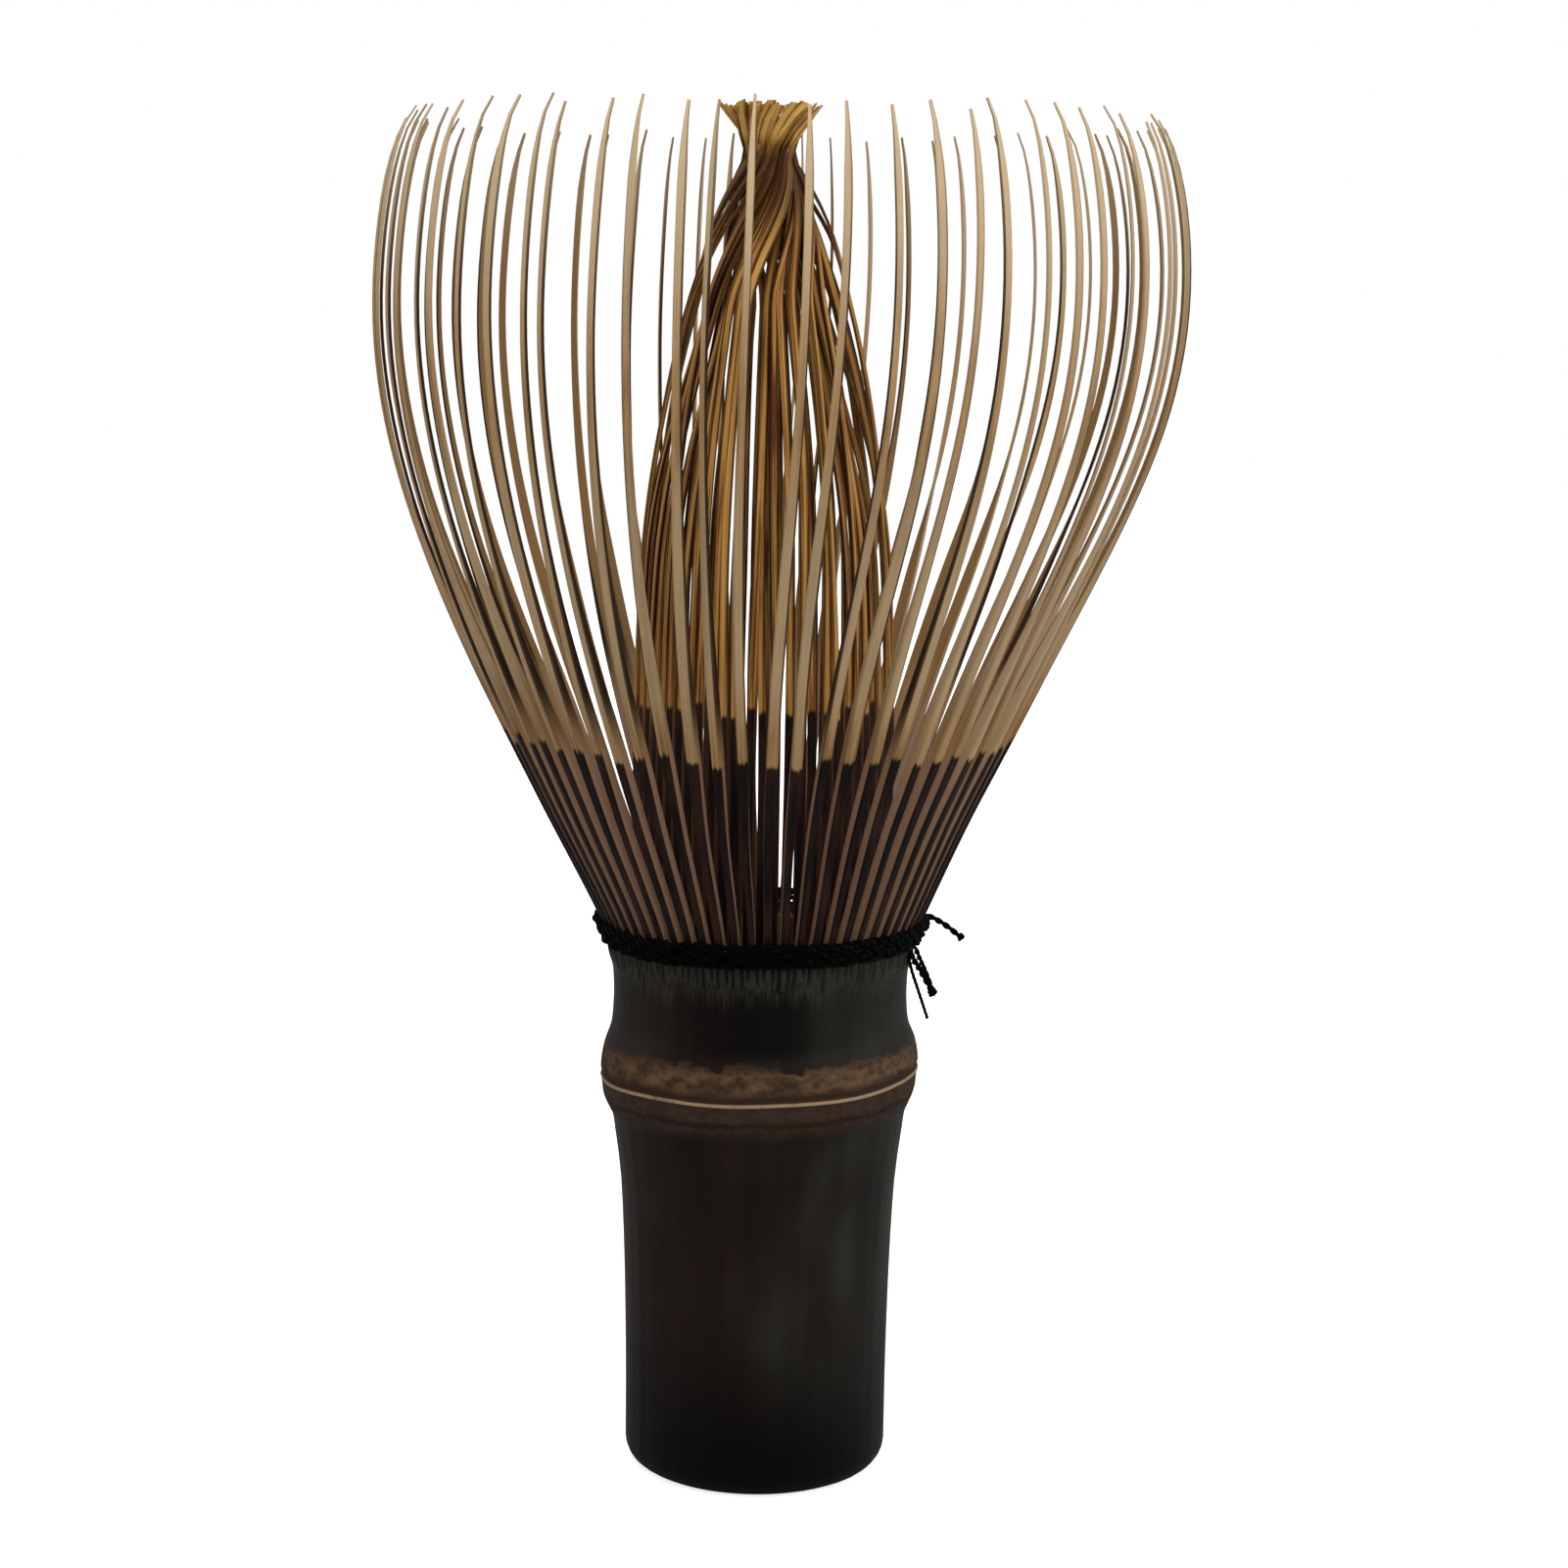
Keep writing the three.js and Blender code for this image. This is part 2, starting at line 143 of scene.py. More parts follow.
def add_node(
    tree: bpy.types.NodeTree,
    kind: str,
    inputs: dict | None = None,
    output: int | str = 0,
    **settings: object,
) -> Field | None:
    """Adds one node with its settings and links.

    Args:
        tree: Tree that takes the node.
        kind: Blender's name for this kind of node.
        inputs: What goes into its sockets, by name or number: fields to link, or plain values.
        output: The output that is wanted from it.
        settings: The node's own settings.

    Returns:
        The wanted output, or None from a node that has none.
    """
    node = tree.nodes.new(kind)
    for name, value in settings.items():
        setattr(node, name, value)
    for key, value in (inputs or {}).items():
        if isinstance(value, Field):
            tree.links.new(value.socket, node.inputs[key])
        else:
            node.inputs[key].default_value = value
    return Field(tree, node.outputs[output]) if node.outputs else None


def linear(colour: str) -> tuple[float, float, float, float]:
    """An sRGB hex colour as linear RGBA.

    Args:
        colour: The colour, as # and six hex digits.

    Returns:
        Red, green, blue and alpha, from 0 to 1.
    """
    parts = [int(colour[i : i + 2], 16) / 255 for i in (1, 3, 5)]
    red, green, blue = (p / 12.92 if p <= 0.04045 else ((p + 0.055) / 1.055) ** 2.4 for p in parts)
    return red, green, blue, 1.0


class Kind(Enum):
    """Kinds of input that a shape tree takes."""

    NUMBER = "NodeSocketFloat"
    COUNT = "NodeSocketInt"
    POINT = "NodeSocketVector"
    MATERIAL = "NodeSocketMaterial"
    ROUTE = "NodeSocketGeometry"


class ShapeTree:
    """A Geometry Nodes tree with named inputs. Its result is realised, dressed mesh."""

    def __init__(self, name: str, inputs: dict[str, Kind]) -> None:
        """Makes the tree with its inputs.

        Args:
            name: Name of the tree.
            inputs: Kind of each input, by name.
        """
        self.tree = bpy.data.node_groups.new(name, "GeometryNodeTree")
        self.tree.interface.new_socket("Shape", in_out="OUTPUT", socket_type="NodeSocketGeometry")
        for title, kind in (inputs | {"Material": Kind.MATERIAL}).items():
            self.tree.interface.new_socket(title, in_out="INPUT", socket_type=kind.value)
        self.entry = add_node(self.tree, "NodeGroupInput")

    def given(self, name: str) -> Field:
        """One of the tree's named inputs."""
        return self.entry.sibling(name)

    def node(
        self, kind: str, inputs: dict | None = None, output: int | str = 0, **settings: object
    ) -> Field:
        """Adds a node to this tree, as add_node does."""
        return add_node(self.tree, kind, inputs, output, **settings)

    def close(self, shape: Field) -> None:
        """Ends the tree: the shape is realised and takes its material.

        Args:
            shape: The finished shape.
        """
        realised = self.node("GeometryNodeRealizeInstances", {"Geometry": shape})
        dressed = self.node(
            "GeometryNodeSetMaterial", {"Geometry": realised, "Material": self.given("Material")}
        )
        self.node("NodeGroupOutput", {"Shape": dressed})

    def grow(
        self, name: str, values: dict[str, object], route: bpy.types.Mesh | None = None
    ) -> bpy.types.Object:
        """Runs the tree once and keeps its result as a plain mesh.

        Args:
            name: Name of the piece.
            values: Value of each named input.
            route: Mesh of points and edges that the shape follows, where it follows one.

        Returns:
            The piece, at the origin, with no modifier.
        """
        piece = bpy.data.objects.new(name, route or bpy.data.meshes.new(name))
        bpy.context.scene.collection.objects.link(piece)
        modifier = piece.modifiers.new("shape", "NODES")
        modifier.node_group = self.tree
        for socket in self.tree.interface.items_tree:
            if socket.in_out == "INPUT" and socket.name in values:
                modifier[socket.identifier] = values[socket.name]
        graph = bpy.context.evaluated_depsgraph_get()
        mesh = bpy.data.meshes.new_from_object(
            piece.evaluated_get(graph), preserve_all_data_layers=True, depsgraph=graph
        )
        piece.modifiers.remove(modifier)
        piece.data = mesh
        mesh.name = name
        return piece


# ---------------------------------------------------------------- finishes


@dataclass(frozen=True)
class Finish:
    """A real material and the way that its surface was made."""

    name: str

    def surface(self, tree: bpy.types.NodeTree) -> dict:
        """What goes into the shader's sockets, by name."""
        raise NotImplementedError

    def material(self) -> bpy.types.Material:
        """The finish as a material, made the first time that it is asked for.

        Returns:
            The material.
        """
        found = bpy.data.materials.get(self.name)
        if found:
            return found
        material = bpy.data.materials.new(self.name)
        material.use_nodes = True
        tree = material.node_tree
        tree.nodes.clear()
        shader = add_node(tree, "ShaderNodeBsdfPrincipled", self.surface(tree))
        add_node(tree, "ShaderNodeOutputMaterial", {"Surface": shader})
        return material

    @staticmethod
    def grain(tree: bpy.types.NodeTree, place: Field, size: Sequence[float], detail: float = 3.0) -> Field:
        """Noise stretched to grains of a given size.

        Args:
            tree: Tree of the material.
            place: Coordinates in metres.
            size: Length of a grain along each axis, in metres.
            detail: How much finer noise lies on top.

        Returns:
            A field from 0 to 1, mostly near a half.
        """
        scale = [1 / length for length in size]
        placed = add_node(tree, "ShaderNodeMapping", {"Vector": place, "Scale": scale})
        return add_node(tree, "ShaderNodeTexNoise", {"Vector": placed, "Scale": 1.0, "Detail": detail})


@dataclass(frozen=True)
class CulmSkin(Finish):
    """Skin of black bamboo: stained almost black, waxy, with fine fibres along the culm.

    It gives the eye a deep, soft gloss with brown and olive streaks, and a dry tan scar at the node.
    Levels are heights over the growth line, in millimetres.
    """

    black: str = "#0D0907"
    brown: str = "#2C1D16"
    olive: str = "#34332A"
    split_edge: str = "#34332B"
    near_black: str = "#030202"
    scar: str = "#6B523B"
    scar_dark_and_shadow: str = "#3A2A1F"
    line: str = "#A48A6E"
    ridge: str = "#43352B"
    crease_shade: str = "#1A120D"
    strips_level: float = 7.4
    strips_fade: float = 2.8
    scar_level: float = 2.5
    ridge_level: float = -2.0
    ridge_fade: float = 1.6
    crease_level: float = -1.75
    line_half: float = 0.08
    neck_shade_half_width: float = 10 * MM
    dark_foot_height: float = 17 * MM
    streak: float = 2.8 * MM
    fibre: float = 0.22 * MM
    patch: tuple[float, float, float] = (7 * MM, 7 * MM, 9 * MM)
    fleck: tuple[float, float, float] = (2.4 * MM, 2.4 * MM, 1.2 * MM)
    crumb: tuple[float, float, float] = (0.9 * MM, 0.9 * MM, 0.6 * MM)

    def surface(self, tree: bpy.types.NodeTree) -> dict:
        """Black skin, with a scar above the growth line and a ridge below it.

        Args:
            tree: Tree of the material.

        Returns:
            What goes into the shader's sockets, by name.
        """
        place = add_node(tree, "ShaderNodeTexCoord", output="Object")
        level = add_node(tree, "ShaderNodeAttribute", output="Fac", attribute_name="level")
        fibres = self.grain(tree, place, (self.fibre, self.fibre, 40 * self.fibre), 2.0)
        crumbs = self.grain(tree, place, self.crumb, 5.0)
        flecks = self.grain(tree, place, self.fleck, 4.0)
        skin = self.skin(tree, place, level, fibres)
        above, scar = self.burnt_scar(level, flecks, crumbs)
        under, ridge = self.brown_ridge(level, flecks, crumbs)
        body = above.tint(skin, scar)
        body = (under * 0.9).tint(body, ridge)
        # The growth line itself: pale bare bamboo, with a painted highlight along its raised edge.
        line = level.math("ABSOLUTE").ease(self.line_half, self.line_half + 0.09, 1.0, 0.0)
        body = (line * crumbs.ease(0.3, 0.45, 0.5, 1.0)).tint(body, self.line)
        dry = above.math("MAXIMUM", under * 0.7)
        relief = {"Height": fibres * 0.25 + crumbs * dry, "Distance": 0.05 * MM, "Strength": 1.0}
        return {
            "Base Color": body,
            "Roughness": (fibres * 0.1 + 0.42) + dry * 0.3,
            "Normal": add_node(tree, "ShaderNodeBump", relief),
            "IOR": 1.5,
            "Specular IOR Level": 0.13,
        }

    def skin(self, tree: bpy.types.NodeTree, place: Field, level: Field, fibres: Field) -> Field:
        """The skin: stained streaks and patches, bare strips at the slit rim, near black round the foot, and
        painted shade in the middle of the neck.

        Args:
            tree: Tree of the material.
            place: Coordinates in metres.
            level: Height over the growth line, in millimetres.
            fibres: Noise of the fibres.

        Returns:
            The colour of the skin.
        """
        streaks = self.grain(tree, place, (self.streak, self.streak, 9 * self.streak))
        patches = self.grain(tree, place, self.patch, 1.0)
        side = add_node(tree, "ShaderNodeSeparateXYZ", {0: place})
        # Brown on the -X side, olive on the +X side, with a ragged change between them.
        olive = (side + (patches - 0.5) * (26 * MM)).ease(-5 * MM, 11 * MM)
        stain = olive.tint(self.brown, self.olive)
        stained = streaks.ease(0.3, 0.7, 0.4, 0.75) * patches.ease(0.3, 0.7, 0.6, 1.0)
        skin = stained.tint(self.black, stain)
        skin = fibres.ease(0.5, 0.8, 0.0, 0.3).tint(skin, self.brown)
        ragged = level + (streaks - 0.5) * 3 + (fibres - 0.5) * 3
        strips = ragged.ease(self.strips_level, self.strips_level + self.strips_fade)
        skin = (strips * fibres.ease(0.3, 0.6, 0.35, 0.9)).tint(skin, self.split_edge)
        # Near black round the foot, and painted shade in the middle of the neck, in front and behind, where
        # the sides catch the sheen.
        neck = side.math("ABSOLUTE").ease(1 * MM, self.neck_shade_half_width, 0.9, 0.0)
        neck = neck * level.ease(self.scar_level, self.scar_level + 2) * (1.0 - strips)
        foot = side.sibling("Z").ease(3 * MM, self.dark_foot_height, 1.0, 0.0)
        return neck.math("MAXIMUM", foot).tint(skin, self.near_black)

    def burnt_scar(self, level: Field, flecks: Field, crumbs: Field) -> tuple[Field, Field]:
        """The dry tan scar above the growth line, frayed along its upper edge, mottled inside, and with a
        painted shadow just above the line.

        Args:
            level: Height over the growth line, in millimetres.
            flecks: Coarse noise.
            crumbs: Fine noise.

        Returns:
            Where the scar is, and its colour.
        """
        fray = (flecks - 0.5) * 2.6 + (crumbs - 0.5) * 1.6
        above = (level + fray).ease(self.scar_level, self.scar_level + 0.6, 1.0, 0.0)
        above = above * level.ease(-0.05, 0.05)
        mottle = (crumbs * 0.5 + flecks * 0.5).ease(0.36, 0.66)
        scar = mottle.tint(self.scar_dark_and_shadow, self.scar)
        # Painted shadow: a dark band just above the growth line.
        clear_of_line = (level + (flecks - 0.5) * 0.8).ease(0.5, 1.5)
        return above, clear_of_line.tint(self.scar_dark_and_shadow, scar)

    def brown_ridge(self, level: Field, flecks: Field, crumbs: Field) -> tuple[Field, Field]:
        """The brown ridge under the growth line, with a painted shade line along the fold across it.

        Args:
            level: Height over the growth line, in millimetres.
            flecks: Coarse noise.
            crumbs: Fine noise.

        Returns:
            Where the ridge is, fading into the black skin, and its colour.
        """
        under = (level + (flecks - 0.5) * 1.2).ease(self.ridge_level - self.ridge_fade, self.ridge_level)
        under = under * level.ease(0.0, 0.1, 1.0, 0.0)
        ridge = crumbs.ease(0.35, 0.65).tint(self.ridge, self.scar_dark_and_shadow)
        # Painted shade: a dark line along the fold across the ridge.
        off_crease = (level - self.crease_level + (flecks - 0.5) * 0.7).math("ABSOLUTE")
        return under, off_crease.ease(0.05, 0.4, 0.6, 0.0).tint(ridge, self.crease_shade)


@dataclass(frozen=True)
class CutBamboo(Finish):
    """End grain and inner wall of bamboo, sawn and scraped: pale, dry, with dark fibre bundles."""

    pith: str = "#8E7248"
    pith_shade: str = "#6E5330"
    bundle: str = "#4A341C"
    bundle_spacing: float = 0.42 * MM
    bundle_length: float = 25 * MM
    cloud: tuple[float, float, float] = (3 * MM, 3 * MM, 8 * MM)

    def surface(self, tree: bpy.types.NodeTree) -> dict:
        """Dark dots of fibre bundles in a pale ground.

        Args:
            tree: Tree of the material.

        Returns:
            What goes into the shader's sockets, by name.
        """
        place = add_node(tree, "ShaderNodeTexCoord", output="Object")
        scale = [1 / self.bundle_spacing, 1 / self.bundle_spacing, 1 / self.bundle_length]
        spots = add_node(tree, "ShaderNodeMapping", {"Vector": place, "Scale": scale})
        cells = add_node(tree, "ShaderNodeTexVoronoi", {"Vector": spots, "Scale": 1.0}, "Distance")
        cloud = self.grain(tree, place, self.cloud)
        ground = cloud.ease(0.35, 0.65).tint(self.pith, self.pith_shade)
        colour = cells.ease(0.18, 0.42, 1.0, 0.0).tint(ground, self.bundle)
        relief = {"Height": cells, "Distance": 0.04 * MM, "Strength": 1.0}
        return {
            "Base Color": colour,
            "Roughness": cloud * 0.2 + 0.55,
            "Normal": add_node(tree, "ShaderNodeBump", relief),
            "IOR": 1.5,
        }


@dataclass(frozen=True)
class SplitBamboo(Finish):
    """Split and shaved bamboo tine: fibres run its whole length, and the root keeps its black skin.

    It gives the eye a matt tan face with fine lines along it, ending in a crisp dark root.
    Numbers that end in height, from or to are heights over the foot in millimetres; tip_fade is a length.
    """

    blade: str = "#BC9360"
    blade_deep: str = "#8C6A40"
    tip: str = "#D6BC96"
    skin: str = "#0E0604"
    skin_light: str = "#331B11"
    # The dark colour of the painted shade on split sides, rims, corners and the crowded neck.
    flank_shade: str = "#2E1D10"
    flank_root: str = "#AE8C72"
    back: str = "#8C6C44"
    skin_height: float = 62.8
    dark_from: float = 68.0
    tip_from: float = 86.0
    tip_fade: float = 22.0
    # The numbers below, with dark_from, dark_fade_from and dark_fade_to, set how strong the painted shade is
    # and where it lies.
    neck_shade: float = 0.0  # how dark the crowded neck under the tips is
    pale_flank: float = 0.15  # how much of the darkness the paler side takes
    top_dark: float = 0.5  # how much of the darkness is left at the tips
    corner_shade: float = 0.6  # how dark the long corners are
    softness: float = 0.1  # half the range of noise between deep and light fibres
    pale_share: float = 0.5  # how pale the palest tines are
    # Painted light: the faces just above the root are paled where they tilt away from the light.
    painted_light_below: float = 0.5  # how pale the faces are just above the root
    dark_left: float = 0.3  # share of tines whose darker side is the clockwise one
    rim_start: float = 0.6  # where the dark rim of a face starts, as a share of its half width
    one_rim: float = 1.0  # 1 where only the darker side has a rim, 0 where both sides have one
    lines: float = 0.5  # how much of the noise is fine lines, and not clouds
    # Heights where that painted light fades out.
    painted_light_fade_from: float = 78.0
    painted_light_fade_to: float = 92.0
    dark_fade_from: float = 96.0
    dark_fade_to: float = 112.0
    fibre: float = 0.13 * MM
    fibre_length: float = 12 * MM
    cloud: tuple[float, float, float] = (0.8 * MM, 0.8 * MM, 6 * MM)

    def surface(self, tree: bpy.types.NodeTree) -> dict:
        """Colour by face, by height in millimetres and by fibres, with painted shade on the split sides,
        back, rims and corners; relief by fibres.

        Args:
            tree: Tree of the material.

        Returns:
            What goes into the shader's sockets, by name.
        """
        height, across, sideways, tone = (
            add_node(tree, "ShaderNodeAttribute", output="Fac", attribute_name=name)
            for name in ("height", "across", "sideways", "tone")
        )
        spot = {"X": sideways * (0.35 * MM) + tone, "Y": across * (0.2 * MM) + tone, "Z": height * MM}
        place = add_node(tree, "ShaderNodeCombineXYZ", spot)
        fibres = self.grain(tree, place, (self.fibre, self.fibre, self.fibre_length), 2.0)
        clouds = self.grain(tree, place, self.cloud, 3.0)
        shade = fibres * self.lines + clouds * (1.0 - self.lines)
        shade = shade.ease(0.49 - self.softness, 0.49 + self.softness)
        blade = self.shaved(height, tone, shade, fibres)
        # Painted shade on the split sides and back: pale at the root and darker above it, one side more than
        # the other.
        split = height.ease(self.skin_height - 4, self.skin_height + 4).tint(self.flank_root, blade)
        dark = height.ease(self.skin_height - 1, self.dark_from)
        dark = dark * height.ease(self.dark_fade_from, self.dark_fade_to, 1.0, self.top_dark)
        side = (tone - self.dark_left).math("SIGN") * sideways
        flank_shade = (dark * side.ease(-0.2, 0.2, self.pale_flank, 1.0)).tint(split, self.flank_shade)
        # Painted shade along the rims of the face.
        rim = side * self.one_rim + sideways.math("ABSOLUTE") * (1.0 - self.one_rim)
        rim = rim.ease(self.rim_start, 0.78)
        blade = (dark * rim * 0.9).tint(blade, self.flank_shade)
        inside = dark.tint(split, shade.tint(self.blade_deep, self.back))
        # The root's outer face keeps its skin up to a slightly ragged edge.
        edge = height + (tone - 0.5) * 1.2 + (fibres - 0.5) * 1.0
        root = edge.ease(self.skin_height - 0.2, self.skin_height + 0.2, 1.0, 0.0)
        outside = root.tint(blade, clouds.ease(0.4, 0.7).tint(self.skin, self.skin_light))
        face = across.ease(0.5, 0.8)
        back = across.ease(-0.8, -0.5, 1.0, 0.0)
        colour = face.tint(back.tint(flank_shade, inside), outside)
        # Painted shade on the long corners.
        corner = (sideways * across).math("ABSOLUTE").ease(0.7, 0.92)
        colour = (corner * self.corner_shade).tint(colour, self.flank_shade)
        relief = {"Height": fibres, "Distance": 0.03 * MM, "Strength": 1.0}
        return {
            "Base Color": colour,
            "Roughness": fibres * 0.2 + 0.5,
            "Normal": add_node(tree, "ShaderNodeBump", relief),
            "IOR": 1.5,
            "Specular IOR Level": 0.2,
        }

    def shaved(self, height: Field, tone: Field, shade: Field, fibres: Field) -> Field:
        """The shaved outer face, from above the root to the pale tip, with painted light just above the root
        and painted shade on the crowded neck.

        Args:
            height: Height over the foot, in millimetres.
            tone: A number from 0 to 1 for each tine.
            shade: How light the fibres are, from 0 to 1.
            fibres: Noise of the fibres.

        Returns:
            The colour of the face.
        """
        blade = shade.tint(self.blade_deep, self.blade)
        blade = (tone * 0.5).tint(blade, self.blade)
        blade = (tone.ease(0.7, 1.0) * self.pale_share).tint(blade, self.tip)
        blade = (height.ease(self.tip_from, self.tip_from + self.tip_fade) * 0.85).tint(blade, self.tip)
        # Painted light: paler just above the root, where the faces tilt away from the light.
        low = height.ease(self.skin_height, self.skin_height + 8)
        low = low * height.ease(self.painted_light_fade_from, self.painted_light_fade_to, 1.0, 0.0)
        blade = (low * self.painted_light_below).tint(blade, self.tip)
        # Painted shade on the crowded neck under the tips.
        neck = height.ease(self.tip_from - 10, self.tip_from - 3)
        neck = neck * height.ease(self.tip_from - 1, self.tip_from + 1, 1.0, 0.0)
        return (neck * self.neck_shade * fibres.ease(0.4, 0.6, 0.6, 1.0)).tint(blade, self.flank_shade)


@dataclass(frozen=True)
class SpunThread(Finish):
    """Black cotton thread, its plies twisted together: soft, with a faint sheen on the fibres."""

    dye: str = "#010101"
    dye_worn: str = "#0A0806"
    fibre: float = 0.06 * MM

    def surface(self, tree: bpy.types.NodeTree) -> dict:
        """Fine fibres that run round each ply.

        Args:
            tree: Tree of the material.

        Returns:
            What goes into the shader's sockets, by name.
        """
        run = add_node(tree, "ShaderNodeAttribute", output="Fac", attribute_name="run")
        around = add_node(tree, "ShaderNodeAttribute", output="Fac", attribute_name="round")
        place = add_node(tree, "ShaderNodeCombineXYZ", {"X": around * MM + run * 0.8, "Y": run * 0.3})
        fibres = self.grain(tree, place, (self.fibre, self.fibre, 1.0), 2.0)
        relief = {"Height": fibres, "Distance": 0.02 * MM, "Strength": 1.0}
        return {
            "Base Color": fibres.ease(0.4, 0.8).tint(self.dye, self.dye_worn),
            "Roughness": fibres * 0.1 + 0.8,
            "Normal": add_node(tree, "ShaderNodeBump", relief),
            "IOR": 1.5,
            "Specular IOR Level": 0.06,
            "Sheen Weight": 0.02,
        }


@dataclass(frozen=True)
class StudioPaper(Finish):
    """Seamless white paper, matt and evenly lit."""

    white: str = "#F7F7F7"
    tooth_light: str = "#FAFAFA"
    away: str = "#A4A4A4"
    glow: float = 0.75
    tooth: float = 1.2 * MM

    def surface(self, tree: bpy.types.NodeTree) -> dict:
        """A white face with the faintest tooth, which throws less light at the object than it shows.

        Args:
            tree: Tree of the material.

        Returns:
            What goes into the shader's sockets, by name.
        """
        seen = add_node(tree, "ShaderNodeLightPath", output="Is Camera Ray")
        place = add_node(tree, "ShaderNodeTexCoord", output="Object")
        tooth = self.grain(tree, place, (self.tooth, self.tooth, self.tooth), 2.0)
        relief = {"Height": tooth, "Distance": 0.01 * MM, "Strength": 1.0}
        return {
            "Base Color": seen.tint(self.away, tooth.tint(self.white, self.tooth_light)),
            "Roughness": 0.9,
            "Normal": add_node(tree, "ShaderNodeBump", relief),
            "Specular IOR Level": 0.1,
            "Emission Color": (1.0, 1.0, 1.0, 1.0),
            "Emission Strength": seen.ease(0.0, 1.0, 0.0, self.glow),
        }


# ---------------------------------------------------------------- curves and meshes


def smooth_line(points: Sequence[Sequence[float]], steps: int) -> np.ndarray:
    """A Catmull-Rom curve through some points.

    Args:
        points: Points of two or three coordinates.
        steps: Steps between two neighbouring points.

    Returns:
        Points along the curve, one to a row.
    """
    p = np.array(points, float)
    p = np.vstack([2 * p[0] - p[1], p, 2 * p[-1] - p[-2]])
    rows = []
    for before, start, end, after in zip(p, p[1:], p[2:], p[3:]):
        for t in np.arange(steps) / steps:
            bend = (2 * before - 5 * start + 4 * end - after) * t**2
            turn = (3 * start - before - 3 * end + after) * t**3
            rows.append((2 * start + (end - before) * t + bend + turn) / 2)
    return np.array(rows + [p[-2]])


def ripple(angle: np.ndarray, waves: Sequence[int], seed: int) -> np.ndarray:
    """A gentle unevenness round a full turn.

    Args:
        angle: Angles at which it is wanted.
        waves: How many whole waves each part of it has in a turn.
        seed: Seed of the waves' phases and sizes.

    Returns:
        Values between -1 and 1.
    """
    rng = np.random.default_rng(seed)
    phases, sizes = rng.uniform(0, TURN, len(waves)), rng.uniform(0.5, 1.0, len(waves))
    total = sum(size * np.sin(wave * angle + phase) for wave, phase, size in zip(waves, phases, sizes))
    return total / sizes.sum()


def ease(value: np.ndarray, low: float, high: float) -> np.ndarray:
    """Goes smoothly from 0 to 1 while value goes from low to high."""
    t = np.clip((value - low) / (high - low), 0, 1)
    return t * t * (3 - 2 * t)


def bump(value: np.ndarray, middle: float, reach: float) -> np.ndarray:
    """Rises smoothly to 1 where value is at the middle and falls away beyond its reach."""
    return np.exp(-(((value - middle) / reach) ** 2))


def show(name: str, mesh: bpy.types.Mesh) -> bpy.types.Object:
    """A new object with that mesh, in the scene.

    Args:
        name: Name of the object.
        mesh: Its mesh.

    Returns:
        The object.
    """
    piece = bpy.data.objects.new(name, mesh)
    bpy.context.scene.collection.objects.link(piece)
    return piece


def mend(mesh: bpy.types.Mesh, distance: float = 0.0001 * MM) -> None:
    """Merges the mesh's points that lie closer than a distance and turns its faces outwards.

    Args:
        mesh: Mesh that is changed in place.
        distance: Points closer than this are merged.
    """
    shape = bmesh.new()
    shape.from_mesh(mesh)
    bmesh.ops.remove_doubles(shape, verts=shape.verts, dist=distance)
    bmesh.ops.dissolve_degenerate(shape, dist=distance, edges=shape.edges)
    bmesh.ops.recalc_face_normals(shape, faces=shape.faces)
    shape.to_mesh(mesh)
    shape.free()


def report(piece: bpy.types.Object) -> None:
    """Logs a finished piece and how fine it is."""
    LOG.info("%s: %d faces", piece.name, len(piece.data.polygons))


# ---------------------------------------------------------------- culm


class Zone(Enum):
    """Surfaces of the culm, by the place of their material on its mesh."""

    SKIN = 0
    CUT = 1


